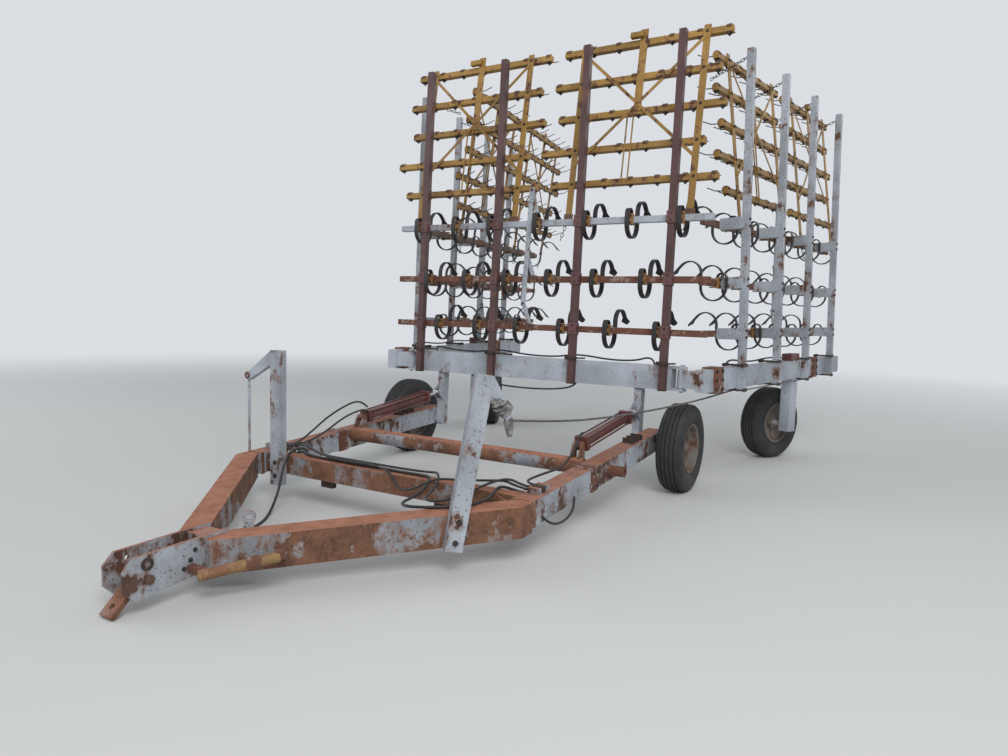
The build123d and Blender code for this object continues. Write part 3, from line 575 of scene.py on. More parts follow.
def make_flaking():
    """Masks of where paint has flaked: large patches with ragged rims, and small chips."""
    tree, source, target = group(
        "Flaking paint",
        [("Vector", None), ("Size", 3.0), ("Level", 0.5), ("Chips", 0.6)],
        [("Patches", "NodeSocketFloat"), ("Specks", "NodeSocketFloat"), ("Rim", "NodeSocketFloat")],
    )
    vector, size = source.outputs["Vector"], source.outputs["Size"]
    large = noise(tree, vector, size, 9.0, 0.68, 0.15)
    upright = stretched(tree, vector, (1.0, 1.0, 0.22))
    streaks = noise(tree, upright, maths(tree, "MULTIPLY", size, 5.0), 6.0, 0.7)
    field = maths(tree, "ADD", maths(tree, "MULTIPLY", large, 0.74), maths(tree, "MULTIPLY", streaks, 0.26))
    level = source.outputs["Level"]
    feed(tree, target.inputs["Patches"], ranged(tree, field, level, maths(tree, "ADD", level, 0.025)))
    feed(tree, target.inputs["Rim"], ranged(tree, field, maths(tree, "SUBTRACT", level, 0.045), level))
    fine = noise(tree, vector, maths(tree, "MULTIPLY", size, 14.0), 4.0, 0.75)
    chips = source.outputs["Chips"]
    feed(tree, target.inputs["Specks"], ranged(tree, fine, chips, maths(tree, "ADD", chips, 0.03)))
    return tree


def make_rusting(colours):
    """Colours of rusted steel, from orange bloom to dark pits, with a height for its crust."""
    light, dark = tuple(colours.rust), tuple(colours.dark_rust)
    tree, source, target = group(
        "Rusted steel",
        [("Vector", None), ("Light", light), ("Dark", dark), ("Bloom", 0.5)],
        [("Colour", "NodeSocketColor"), ("Height", "NodeSocketFloat")],
    )
    vector = source.outputs["Vector"]
    coarse = noise(tree, vector, 7.0, 8.0, 0.7, 0.3)
    fine = noise(tree, vector, 60.0, 6.0, 0.75)
    blend = maths(tree, "ADD", maths(tree, "MULTIPLY", coarse, 0.6), maths(tree, "MULTIPLY", fine, 0.4))
    bloom = source.outputs["Bloom"]
    mask = ranged(tree, blend, maths(tree, "SUBTRACT", bloom, 0.16), maths(tree, "ADD", bloom, 0.16))
    colour = mixed(tree, mask, source.outputs["Dark"], source.outputs["Light"])
    pale = ranged(tree, noise(tree, vector, 23.0, 5.0, 0.6), 0.60, 0.80, 0.0, 0.45)
    colour = mixed(tree, pale, colour, PALE_RUST)
    feed(tree, target.inputs["Colour"], colour)
    feed(tree, target.inputs["Height"], blend)
    return tree


def make_facing():
    """Mask of faces that look up, broken along their rim."""
    tree, source, target = group(
        "Upward faces", [("Vector", None), ("Spread", 0.25)], [("Mask", "NodeSocketFloat")]
    )
    geometry = tree.nodes.new("ShaderNodeNewGeometry")
    parts = tree.nodes.new("ShaderNodeSeparateXYZ")
    feed(tree, parts.inputs[0], geometry.outputs["Normal"])
    ragged = noise(tree, source.outputs["Vector"], 12.0, 6.0, 0.7)
    rim = maths(tree, "MULTIPLY", maths(tree, "SUBTRACT", ragged, 0.5), source.outputs["Spread"])
    lifted = maths(tree, "ADD", parts.outputs["Z"], rim)
    feed(tree, target.inputs["Mask"], ranged(tree, lifted, 0.62, 0.80))
    return tree


def make_grime():
    """Dust and splashed soil that thins out upwards, in patches."""
    tree, source, target = group(
        "Field grime", [("Vector", None), ("Reach", 0.5), ("Amount", 0.5)], [("Mask", "NodeSocketFloat")]
    )
    parts = tree.nodes.new("ShaderNodeSeparateXYZ")
    feed(tree, parts.inputs[0], source.outputs["Vector"])
    height = ranged(tree, parts.outputs["Z"], 0.0, source.outputs["Reach"], 1.0, 0.15)
    cloud = noise(tree, source.outputs["Vector"], 5.0, 7.0, 0.7)
    mask = maths(tree, "MULTIPLY", height, ranged(tree, cloud, 0.35, 0.75))
    feed(tree, target.inputs["Mask"], maths(tree, "MULTIPLY", mask, source.outputs["Amount"], True))
    return tree


groups = {}
finishes = {}

RUST_STAIN = (0.20, 0.09, 0.045)
PALE_RUST = (0.42, 0.21, 0.10)
# Painted light: a sunlit and a shaded copy of rust, for the painted light and shade on upward faces
SUNLIT_RUST = (0.40, 0.175, 0.105)
SHADED_RUST = (0.27, 0.10, 0.055)
DRY_SOIL = (0.13, 0.10, 0.07)


def use(tree, name, **values):
    """A node that holds one of the groups, with its own values."""
    node = tree.nodes.new("ShaderNodeGroup")
    node.node_tree = groups[name]
    for label, value in values.items():
        feed(tree, node.inputs[label], value)
    return node


def new_finish(name, rough=0.6, metal=0.0):
    """A material under its name, with its tree, its shader and its Object coordinates."""
    material = bpy.data.materials.new(name)
    material.use_nodes = True
    tree = material.node_tree
    shader = tree.nodes["Principled BSDF"]
    shader.inputs["Roughness"].default_value = rough
    shader.inputs["Metallic"].default_value = metal
    place = tree.nodes.new("ShaderNodeTexCoord").outputs["Object"]
    finishes[name] = material
    return tree, shader, place


def bumped(tree, shader, height, strength, distance):
    """Relief from a height."""
    bump = tree.nodes.new("ShaderNodeBump")
    bump.inputs["Strength"].default_value = strength
    bump.inputs["Distance"].default_value = distance
    feed(tree, bump.inputs["Height"], height)
    feed(tree, shader.inputs["Normal"], bump.outputs["Normal"])


def weathered(
    name, paint, size, level, chips, top=0.0, bloom=0.5, grime=0.35, reach=1.0, rough=0.6, rust_colour=None
):
    """Old paint over rusted steel: patches and chips where it has gone, and rust on the upward faces by top,
    painted lighter there as sunlit rust in patches with painted shaded rust.

    size, level and chips set the flaking, bloom how light the rust is, grime and reach the soil from below.
    """
    tree, shader, place = new_finish(name)
    flakes = use(tree, "flaking", Vector=place, Size=size, Level=level, Chips=chips)
    rust = use(tree, "rusting", Vector=place, Bloom=bloom)
    if rust_colour:
        feed(tree, rust.inputs["Light"], rust_colour)
    upward = use(tree, "facing", Vector=place)
    dirt = use(tree, "grime", Vector=place, Reach=reach, Amount=grime)
    shade = noise(tree, place, 2.2, 5.0, 0.6)
    lighter = tuple(min(1.0, c * 1.25 + 0.01) for c in paint)
    darker = tuple(c * 0.72 for c in paint)
    coat = mixed(tree, ranged(tree, shade, 0.3, 0.7), darker, lighter)
    stain = maths(tree, "MULTIPLY", flakes.outputs["Rim"], 0.55)
    coat = mixed(tree, stain, coat, RUST_STAIN)
    bare = maths(tree, "MAXIMUM", flakes.outputs["Patches"], flakes.outputs["Specks"])
    bare_steel_with_lit_tops = rust.outputs["Colour"]
    # Painted light: the upward faces' rust is painted lighter, as if sunlit, in patches of painted shaded
    # rust
    if top:
        bare = maths(tree, "MAXIMUM", bare, maths(tree, "MULTIPLY", upward.outputs["Mask"], top))
        sun_and_shade_patches = ranged(tree, noise(tree, place, 11.0, 6.0, 0.65), 0.35, 0.70)
        sunlit_and_shaded = mixed(tree, sun_and_shade_patches, SUNLIT_RUST, SHADED_RUST)
        bare_steel_with_lit_tops = mixed(tree, maths(tree, "MULTIPLY", upward.outputs["Mask"], 0.85), bare_steel_with_lit_tops, sunlit_and_shaded)
    colour = mixed(tree, bare, coat, bare_steel_with_lit_tops)
    colour = mixed(tree, dirt.outputs["Mask"], colour, DRY_SOIL)
    feed(tree, shader.inputs["Base Color"], colour)
    roughened(tree, shader, bare, rough, 0.9 - rough)
    crust = maths(tree, "MULTIPLY", rust.outputs["Height"], bare)
    sunk = maths(tree, "MULTIPLY", bare, 0.6)
    bumped(tree, shader, maths(tree, "SUBTRACT", crust, sunk), 0.35, 0.003)


def make_paints(colours):
    """Paints over rusted steel, each worn in its own way."""
    pale, maroon, ochre = tuple(colours.pale), tuple(colours.maroon), tuple(colours.ochre)
    brown = (0.115, 0.052, 0.034)
    dark_brown = (0.085, 0.042, 0.022)
    weathered(
        "pale_toolbar", pale, size=3.4, level=0.600, chips=0.640, grime=0.12, rough=0.5, rust_colour=brown
    )
    weathered(
        "pale_post", pale, size=4.5, level=0.565, chips=0.60, bloom=0.42, grime=0.25, reach=0.7, rough=0.5,
        rust_colour=brown,
    )
    # The rail's upward faces get rust with painted sunlight and painted shade on it
    weathered(
        "pale_rail", pale, size=3.4, level=0.535, chips=0.595, top=0.9, reach=0.6, rough=0.5,
        rust_colour=brown,
    )
    weathered(
        "pale_rib", tuple(c * 0.95 for c in pale), size=5.0, level=0.565, chips=0.595, bloom=0.38, grime=0.05,
        rough=0.5, rust_colour=brown,
    )
    # The beam's upward faces get rust with painted sunlight and painted shade on it
    weathered(
        "rust_beam", tuple(c * 0.85 for c in pale), size=2.2, level=0.470, chips=0.57, top=1.0, bloom=0.46,
        reach=0.5,
    )
    weathered(
        "rust_bar", (0.30, 0.26, 0.24), size=9.0, level=0.44, chips=0.55, bloom=0.42, grime=0.05,
        rust_colour=(0.17, 0.070, 0.045),
    )
    weathered(
        "maroon_rib", maroon, size=3.5, level=0.63, chips=0.66, bloom=0.36, grime=0.05, rough=0.5,
        rust_colour=brown,
    )
    weathered(
        "maroon_sleeve", tuple(c * 1.5 for c in maroon), size=3.5, level=0.60, chips=0.63, bloom=0.38,
        grime=0.05, rough=0.5, rust_colour=brown,
    )
    weathered(
        "old_yellow", (0.30, 0.18, 0.065), size=9.0, level=0.52, chips=0.58, bloom=0.42, grime=0.15, reach=0.6
    )
    weathered(
        "maroon_cylinder", (0.115, 0.033, 0.028), size=4.0, level=0.62, chips=0.67, bloom=0.38, grime=0.15,
        reach=0.8, rough=0.42, rust_colour=brown,
    )
    weathered(
        "ochre_harrow", ochre, size=6.0, level=0.565, chips=0.60, bloom=0.34, grime=0.0,
        rust_colour=dark_brown,
    )
    weathered(
        "gold_clamp", (0.24, 0.115, 0.028), size=8.0, level=0.55, chips=0.60, bloom=0.38, grime=0.0,
        rust_colour=dark_brown,
    )
    weathered(
        "brown_clamp", (0.10, 0.05, 0.03), size=8.0, level=0.53, chips=0.60, bloom=0.42, grime=0.0,
        rust_colour=brown,
    )
    weathered(
        "wheel_paint", (0.15, 0.135, 0.12), size=7.0, level=0.55, chips=0.59, bloom=0.38, grime=0.75,
        reach=0.9, rough=0.65, rust_colour=brown,
    )


def mottling(tree, place, scale, low, high, detail=6.0, rough=0.7):
    """Mask of soft spots."""
    return ranged(tree, noise(tree, place, scale, detail, rough), low, high)


def roughened(tree, shader, mask, least, more):
    """Roughness that grows with a mask."""
    feed(tree, shader.inputs["Roughness"], maths(tree, "ADD", least, maths(tree, "MULTIPLY", mask, more)))


def make_steels():
    """Bare steel of the tines, the bolts, the rods and the wire."""
    tree, shader, place = new_finish("spring_steel", 0.45)
    spots = mottling(tree, place, 30.0, 0.45, 0.75)
    feed(tree, shader.inputs["Base Color"], mixed(tree, spots, (0.012, 0.011, 0.012), (0.055, 0.032, 0.024)))
    roughened(tree, shader, spots, 0.42, 0.35)
    bumped(tree, shader, noise(tree, place, 120.0, 4.0, 0.6), 0.15, 0.002)

    tree, shader, place = new_finish("dark_iron", 0.7)
    spots = mottling(tree, place, 40.0, 0.40, 0.72)
    feed(tree, shader.inputs["Base Color"], mixed(tree, spots, (0.022, 0.018, 0.017), (0.090, 0.045, 0.028)))
    bumped(tree, shader, spots, 0.25, 0.002)

    tree, shader, place = new_finish("bright_rod", 0.28, 1.0)
    pits = mottling(tree, place, 45.0, 0.55, 0.70)
    feed(tree, shader.inputs["Base Color"], mixed(tree, pits, (0.52, 0.52, 0.53), (0.16, 0.08, 0.05)))
    roughened(tree, shader, pits, 0.25, 0.5)

    tree, shader, place = new_finish("wire_rope", 0.6)
    strands = mottling(tree, place, 60.0, 0.4, 0.7, 4.0, 0.6)
    feed(tree, shader.inputs["Base Color"], mixed(tree, strands, (0.05, 0.05, 0.052), (0.16, 0.15, 0.14)))


def make_soft_finishes(colours):
    """Rubber of the tyres and the hoses, and the cloth round the left post."""
    tree, shader, place = new_finish("tyre_rubber", 0.8)
    dust = use(tree, "grime", Vector=place, Reach=0.55, Amount=0.55)
    worn = mottling(tree, place, 9.0, 0.35, 0.75, 7.0)
    coat = mixed(tree, worn, tuple(colours.rubber), tuple(c * 2.0 for c in colours.rubber))
    feed(tree, shader.inputs["Base Color"], mixed(tree, dust.outputs["Mask"], coat, (0.10, 0.085, 0.065)))
    bumped(tree, shader, noise(tree, place, 180.0, 3.0, 0.6), 0.2, 0.001)

    tree, shader, place = new_finish("hose_rubber", 0.5)
    worn = mottling(tree, place, 14.0, 0.35, 0.75)
    feed(tree, shader.inputs["Base Color"], mixed(tree, worn, (0.010, 0.010, 0.011), (0.035, 0.034, 0.033)))
    roughened(tree, shader, worn, 0.42, 0.3)
    bumped(tree, shader, noise(tree, place, 90.0, 3.0, 0.6), 0.12, 0.001)

    tree, shader, place = new_finish("faded_cloth", 0.9)
    folds = mottling(tree, place, 26.0, 0.35, 0.7, 5.0, 0.6)
    feed(tree, shader.inputs["Base Color"], mixed(tree, folds, (0.10, 0.095, 0.09), (0.34, 0.34, 0.33)))
    bumped(tree, shader, noise(tree, stretched(tree, place, (1, 1, 3)), 120.0, 3.0, 0.6), 0.4, 0.002)


def make_finishes(colours):
    """Every finish of the machine, under the names that the pieces use."""
    groups["flaking"] = make_flaking()
    groups["rusting"] = make_rusting(colours)
    groups["facing"] = make_facing()
    groups["grime"] = make_grime()
    make_paints(colours)
    make_steels()
    make_soft_finishes(colours)


NODE_FINISH = {
    "side_rail": "pale_rail",
    "tongue_beam": "rust_beam",
    "cable_post": "pale_post",
    "front_cross_beam": "rust_beam",
    "rear_cross_tube": "rust_beam",
    "hitch_jaw": "pale_rail",
    "hitch_tongue": "rust_beam",
    "centre_toolbar": "pale_toolbar",
    "lift_posts": "pale_post",
    "centre_ribs": "maroon_rib",
    "wing_toolbar": "pale_toolbar",
    "wing_ribs": "pale_rib",
    "wing_leg": "pale_toolbar",
    "lift_cylinder": "maroon_cylinder",
    "lift_rod": "bright_rod",
}


class WEEDER_OT_finishes(bpy.types.Operator):
    """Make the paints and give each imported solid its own"""

    bl_idname = "weeder.finishes"
    bl_label = "Paint the frame"

    def execute(self, context):
        make_finishes(context.scene.weeder_colours)
        for name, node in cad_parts.items():
            root = name.rsplit("_", 1)[0] if name.endswith(("_left", "_right")) else name
            painted(node, NODE_FINISH.get(root, "dark_iron"))
        return {"FINISHED"}


# Stage


def set_camera(scene):
    """Stand the camera where the photograph was taken."""
    camera = bpy.data.objects.new("camera", bpy.data.cameras.new("camera"))
    scene.collection.objects.link(camera)
    level = math.cos(VIEW_PITCH)
    back = Vector((math.sin(VIEW_YAW) * level, -math.cos(VIEW_YAW) * level, math.sin(VIEW_PITCH)))
    right = (-back).cross(Vector((0, 0, 1))).normalized()
    up = right.cross(-back)
    turned_right = math.cos(VIEW_ROLL) * right + math.sin(VIEW_ROLL) * up
    turned_up = -math.sin(VIEW_ROLL) * right + math.cos(VIEW_ROLL) * up
    turn = Matrix((turned_right, turned_up, back)).transposed().to_4x4()
    camera.matrix_world = at(*VIEW_SPOT) @ turn
    camera.data.sensor_width = SENSOR_WIDTH
    camera.data.lens = FOCAL_PIXELS / PHOTO_WIDTH * SENSOR_WIDTH
    camera.data.clip_end = 200
    scene.camera = camera


def seen_by(tree, *kinds):
    """1 for rays of these kinds and 0 for all others."""
    path = tree.nodes.new("ShaderNodeLightPath")
    seen = path.outputs[kinds[0]]
    for kind in kinds[1:]:
        seen = maths(tree, "MAXIMUM", seen, path.outputs[kind])
    return seen


def blended(tree, mask, first, second, target):
    """Send a mix of two shader nodes to an output node."""
    blend = tree.nodes.new("ShaderNodeMixShader")
    feed(tree, blend.inputs[0], mask)
    tree.links.new(first.outputs[0], blend.inputs[1])
    tree.links.new(second.outputs[0], blend.inputs[2])
    tree.links.new(blend.outputs[0], target.inputs[0])


def lay_floor(stage):
    """A floor that fades into the backdrop far from the machine."""
    bpy.ops.object.select_all(action="DESELECT")
    bpy.ops.mesh.primitive_plane_add(size=FLOOR_SIZE)
    floor = added("floor")
    tree, shader, place = new_finish("floor", 0.9)
    feed(tree, shader.inputs["Base Color"], tuple(stage.floor))
    far = tree.nodes.new("ShaderNodeVectorMath")
    far.operation = "LENGTH"
    feed(tree, far.inputs[0], place)
    glow = tree.nodes.new("ShaderNodeEmission")
    feed(tree, glow.inputs["Color"], BACKDROP)
    glow.inputs["Strength"].default_value = BACKDROP_LEVEL
    fade = ranged(tree, far.outputs["Value"], *FLOOR_FADE)
    mask = maths(tree, "MULTIPLY", fade, seen_by(tree, "Is Camera Ray", "Is Glossy Ray"))
    blended(tree, mask, shader, glow, tree.nodes["Material Output"])
    painted(floor, "floor")


def hang_lamps(scene, stage):
    """A large key lamp and two weaker ones."""
    for label, spot, aim, size, share in (
        ("key", (7.0, -9.0, 9.0), (0.3, 0.4, 1.6), 7.0, 1.0),
        ("side", (-10.0, -5.0, 7.0), (0, 0, 1.6), 8.0, 0.35),
        ("rear", (4.0, 12.0, 9.0), (0, 0, 2.0), 8.0, 0.4),
    ):
        lamp = bpy.data.objects.new(label, bpy.data.lights.new(label, "AREA"))
        lamp.data.energy = stage.key_power * share
        lamp.data.size = size
        lamp.location = spot
        lamp.rotation_euler = (Vector(aim) - Vector(spot)).to_track_quat("-Z", "Y").to_euler()
        scene.collection.objects.link(lamp)


def light_sky(scene, stage):
    """An even sky that is seen as a plain backdrop."""
    scene.world = bpy.data.worlds.new("sky")
    scene.world.use_nodes = True
    tree = scene.world.node_tree
    sky = tree.nodes["Background"]
    backdrop = tree.nodes.new("ShaderNodeBackground")
    for node, colour, level in ((sky, SKY, stage.sky_level), (backdrop, BACKDROP, BACKDROP_LEVEL)):
        feed(tree, node.inputs["Color"], colour)
        node.inputs["Strength"].default_value = level
    seen = seen_by(tree, "Is Camera Ray", "Is Glossy Ray", "Is Transmission Ray")
    blended(tree, seen, sky, backdrop, tree.nodes["World Output"])


class WEEDER_OT_stage(bpy.types.Operator):
    """Camera, soft light and a pale floor"""

    bl_idname = "weeder.stage"
    bl_label = "Set the stage"

    def execute(self, context):
        scene = context.scene
        scene.view_settings.view_transform = "Standard"
        set_camera(scene)
        lay_floor(scene.weeder_stage)
        hang_lamps(scene, scene.weeder_stage)
        light_sky(scene, scene.weeder_stage)
        return {"FINISHED"}


# Tines


TINE_FOOT = (-0.036, -0.045)
# Each run of the strip: straight length, then an arc's radius, its turn in degrees and its steps
TINE_RUNS = [(0.090, 0.046, 180, 8), (0.083, 0.128, 180, 18), (0.128, 0.120, -135, 12), (0.099, 0, 0, 0)]
ARROW = [
    (-0.0225, -0.050), (0.0225, -0.050), (0.045, 0.0), (0.018, 0.030), (0.0, 0.045), (-0.018, 0.030),
    (-0.045, 0.0),
]


def arrow_point():
    """The tine's arrow-shaped point, dished, with its length along Y."""
    point = plate("arrow_point", ARROW, 0.010, edge=0.001)
    for vertex in point.data.vertices:
        vertex.co.z -= 5.0 * vertex.co.x**2 + 1.2 * vertex.co.y**2
    return painted(point, "spring_steel")


def tine_clamp():
    """The parts that hold a tine to its bar: a block, two lips and two bolts."""
    body = block("clamp", (0.058, 0.024, 0.106), (0, -0.050, 0), edge=0.006, segments=3)
    parts = [painted(body, "gold_clamp")]
    for z in (0.040, -0.040):
        parts.append(painted(block("clamp_lip", (0.050, 0.086, 0.010), (0, -0.010, z)), "gold_clamp"))
    for z in (-0.032, 0.032):
        head = put(bolt("clamp_bolt", 0.011, 0.009, 0.010), at(0, -0.062, z) @ TO_FRONT)
        parts.append(painted(head, "dark_iron"))
    return parts


def spring_tine(sizes):
    """One spring tine with its point and clamp, about the middle of its bar."""
    half, thick = sizes.tine_width / 2, sizes.tine_thick / 2
    outline = [(-half, -thick), (half, -thick), (half, thick), (-half, thick)]
    strip, tip, heading = swept("spring_tine", outline, TINE_FOOT, 90, TINE_RUNS)
    rounded(strip, 0.0018, 1, 50)
    painted(smooth(strip, 30), "spring_steel")
    point = put(arrow_point(), at(0, *tip) @ turned(heading, "X") @ at(0, 0, 0.004))
    return joined("spring_tine", [strip, point] + tine_clamp())


def tine_row(name, master, dice, finish, ends, y, z, places):
    """A square bar along X with copies of a tine, each a little off its neighbours' angle."""
    start, end = ends
    bar = block("bar", (end - start, BAR, BAR), ((start + end) / 2, y, z), edge=0.004)
    parts = [painted(bar, finish)]
    for x in places:
        slack = Matrix.Rotation(dice.uniform(-TINE_SLACK, TINE_SLACK), 4, "X")
        parts.append(copied(master, at(x, y, z) @ slack))
    return joined(name, parts)


class WEEDER_OT_tines(bpy.types.Operator):
    """Rows of spring tines on their bars"""

    bl_idname = "weeder.tines"
    bl_label = "Model the tine rows"

    def execute(self, context):
        master = spring_tine(context.scene.weeder_sizes)
        dice = random.Random(7)
        centre_ends = (-CENTRE_BAR_END, CENTRE_BAR_END)
        for name, z in ROW_HEIGHTS.items():
            first, count = CENTRE_TINES[name]
            places = clear_places(first, CENTRE_PITCH, count, CENTRE_RIBS, CENTRE_CLEARANCE)
            finish = "pale_toolbar" if name == "top" else "rust_bar"
            row = tine_row(f"centre_tines_{name}", master, dice, finish, centre_ends, BAR_Y, z, places)
            ridden(put(row, ON_FRAME), "lift_frame")
            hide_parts(f"centre_row_{name}")

            first, count = WING_TINES[name]
            places = clear_places(first, WING_PITCH, count, WING_RIBS, WING_CLEARANCE)
            finish = "brown_clamp" if name == "top" else "rust_bar"
            row = tine_row(f"wing_tines_{name}", master, dice, finish, WING_BAR_ENDS, WING_BAR_Y, z, places)
            put(row, ON_GEAR)
            both_sides(row, f"wing_tines_{name}", "wing_{side}", "dark_steel", f"wing_row_{name}")
        bpy.data.objects.remove(master)
        return {"FINISHED"}


# Harrows


def harrow_clip():
    """Saddle over a harrow bar, with its plate and nuts below, about the bar's middle."""
    saddle = lathed("saddle", [(-0.022, 0.026), (0.022, 0.026), (0.022, 0.040), (-0.022, 0.040)], 10)
    only(saddle)
    bpy.ops.object.mode_set(mode="EDIT")
    bpy.ops.mesh.select_all(action="SELECT")
    bpy.ops.mesh.bisect(plane_co=(0, 0, 0), plane_no=(0, 0, 1), clear_inner=True, use_fill=True)
    bpy.ops.object.mode_set(mode="OBJECT")
    parts = [painted(put(saddle, at(0, 0, 0.010)), "brown_clamp")]
    parts.append(painted(block("clip_plate", (0.040, 0.056, 0.006), (0, 0, -0.033), edge=0), "dark_iron"))
    for y in (-0.018, 0.018):
        parts.append(painted(block("nut", (0.016, 0.014, 0.020), (0, y, -0.040), edge=0), "dark_iron"))
    return joined("harrow_clip", parts)


def harrow_prong(sizes):
    """One spring prong from the middle of its bar, bent up a little at its middle."""
    rise = math.radians(20)
    tip = (0, 0.210 * math.cos(rise), 0.210 * math.sin(rise))
    bend = (0, 0.120 * math.cos(rise * 0.6), 0.120 * math.sin(rise * 0.6))
    first = rod("prong", (0, 0.026, 0.004), bend, sizes.harrow_rod / 2, 6)
    second = rod("prong_tip", bend, tip, sizes.harrow_rod / 2 * 0.92, 6)
    return painted(joined("harrow_prong", [first, second]), "spring_steel")


def harrow_bars(sizes, pitch):
    """The five bars with their clips and prongs."""
    parts = []
    spots = []
    reach = HARROW_WIDTH - 0.080
    for k, shift in enumerate(HARROW_SHIFTS):
        bar = block("harrow_bar", (HARROW_WIDTH, BAR, BAR), (shift, 0, -k * pitch), edge=0.004)
        parts.append(painted(bar, "ochre_harrow"))
        spots += [at(shift + (n - 3) * reach / 6, 0, -k * pitch) for n in range(7)]
    parts.append(repeated("clips", harrow_clip(), spots))
    parts.append(repeated("prongs", harrow_prong(sizes), spots))
    return parts


def harrow_frame(pitch, drop):
    """Flat members, the middle strip, crossed braces, the top stub and the link rods between bars."""
    brace_run, brace_drop = 1.200, 1.120
    brace_length = math.hypot(brace_run, brace_drop)
    brace_turn = math.atan2(brace_drop, brace_run)
    parts = []
    for side in (-1, 1):
        place = (side * MEMBER_X, MEMBER_Y, (0.060 - drop) / 2)
        parts.append(block("harrow_member", (0.064, 0.012, drop + 0.060), place, edge=0.002))
    middle_size = (0.074, 0.012, 0.120 + 2 * pitch)
    parts.append(block("harrow_middle", middle_size, (0, MEMBER_Y, (0.120 - 2 * pitch) / 2), edge=0.002))
    for side in (-1, 1):
        place, turn = (0, -0.045, -brace_drop / 2 - 0.040), (0, -side * brace_turn, 0)
        parts.append(block("brace", (brace_length, 0.006, 0.030), place, turn, edge=0.001, segments=1))
    parts.append(block("harrow_stub", (0.130, 0.050, 0.050), (-0.058, -0.062, 0.058)))
    for x in (-0.090, -0.030):
        parts.append(rod("link_rod", (x, -0.038, -2 * pitch), (x, -0.038, -4 * pitch), 0.008, 8))
    return [painted(part, "ochre_harrow") for part in parts]


def harrow_section(sizes, tilt):
    """One harrow section, flat in XZ with the middle of its top bar at the origin."""
    pitch = MEMBER_HEIGHT / 5
    drop = (MEMBER_HEIGHT + BAR / 2 * math.sin(tilt)) / math.cos(tilt) - 0.0003
    parts = harrow_bars(sizes, pitch) + harrow_frame(pitch, drop)
    for side in (-1, 1):
        place = (side * MEMBER_X, -0.038, -drop + 0.026)
        foot = block("member_foot", (0.092, 0.016, 0.052), place, segments=1)
        parts.append(painted(foot, "brown_clamp"))
        for k in range(len(HARROW_SHIFTS)):
            head = put(bolt("member_bolt", 0.012, 0.009), at(side * MEMBER_X, -0.042, -k * pitch) @ TO_FRONT)
            parts.append(painted(head, "dark_iron"))
    return joined("harrow", parts)


class WEEDER_OT_harrows(bpy.types.Operator):
    """Comb harrows behind the centre frame and the wings"""

    bl_idname = "weeder.harrows"
    bl_label = "Model the harrows"

    def execute(self, context):
        sizes = context.scene.weeder_sizes
        centre = harrow_section(sizes, CENTRE_TILT)
        for side, x in (("left", CENTRE_HARROW_X), ("right", -CENTRE_HARROW_X)):
            place = ON_FRAME @ at(x, *HARROW_TOP) @ Matrix.Rotation(-CENTRE_TILT, 4, "X")
            piece = copied(centre, place, f"centre_comb_{side}")
            ridden(piece, "lift_frame")
            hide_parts(f"centre_harrow_{side}")
        bpy.data.objects.remove(centre)
        wing = harrow_section(sizes, WING_TILT)
        for name, x in WING_HARROWS.items():
            place = ON_GEAR @ at(x, *HARROW_TOP) @ Matrix.Rotation(-WING_TILT, 4, "X")
            piece = copied(wing, place, f"wing_comb_{name}")
            both_sides(piece, f"wing_comb_{name}", "wing_{side}", "harrow_ochre", f"wing_harrow_{name}")
        bpy.data.objects.remove(wing)
        return {"FINISHED"}


# Wheels

# Half of the tyre's section, as (along the axle, radius) points from the bead to the shoulder
SIDEWALL = [
    (-0.086, 0.2105), (-0.092, 0.222), (-0.100, 0.236), (-0.113, 0.268), (-0.120, 0.305), (-0.117, 0.345),
    (-0.104, 0.378),
]
SHOULDER = (-0.084, 0.393)
GROOVES = [(-0.056, 0.3975), (-0.020, 0.400), (0.020, 0.400), (0.056, 0.3975)]
TYRE_STEPS = 96
SEAT = 0.210
RIM_SECTION = [
    (-0.100, 0.224), (-0.103, 0.220), (-0.097, 0.212), (-0.086, SEAT), (-0.052, 0.206), (-0.040, 0.186),
    (0.020, 0.186), (0.034, 0.206), (0.086, SEAT), (0.097, 0.212), (0.103, 0.220), (0.100, 0.224),
    (0.094, 0.218), (0.094, 0.2045), (0.080, 0.2015), (0.038, 0.199), (0.024, 0.179), (-0.044, 0.179),
    (-0.057, 0.199), (-0.080, 0.2015), (-0.094, 0.2045), (-0.094, 0.218),
]
DISC_SECTION = [
    (-0.036, 0.183), (-0.030, 0.160), (-0.006, 0.130), (0.002, 0.105), (-0.004, 0.085), (-0.004, 0.046),
    (-0.012, 0.046), (-0.012, 0.087), (-0.006, 0.105), (-0.014, 0.128), (-0.038, 0.158), (-0.044, 0.183),
]
HUB_SECTION = [
    (-0.060, 0.0303), (-0.060, 0.065), (-0.020, 0.065), (-0.012, 0.058), (-0.004, 0.055), (0.034, 0.050),
    (0.040, 0.043), (0.056, 0.040), (0.060, 0.034), (0.060, 0.002), (0.052, 0.002), (0.045, 0.0303),
]
WHEEL_NUTS = 6


def ribbed_tyre(sizes):
    """A ribbed implement tyre about the X axis, centred on its wheel, with grooves that waver."""
    half = SIDEWALL + [SHOULDER]
    grooves = []
    for x, radius in GROOVES:
        floor = radius - sizes.tread_depth
        grooves += [(x - 0.007, radius), (x - 0.005, floor), (x + 0.005, floor), (x + 0.007, radius)]
    tyre = lathed("tyre", half + grooves + [(-x, radius) for x, radius in reversed(half)], TYRE_STEPS)
    for vertex in tyre.data.vertices:
        radius = math.hypot(vertex.co.y, vertex.co.z)
        if any(abs(vertex.co.x - x) < 0.0005 and abs(radius - r) < 0.0005 for x, r in grooves):
            step = round(math.atan2(vertex.co.z, vertex.co.y) / math.tau * TYRE_STEPS)
            vertex.co.x += (0.0035, 0.0, -0.0035, 0.0)[step % 4]
    return painted(tyre, "tyre_rubber")


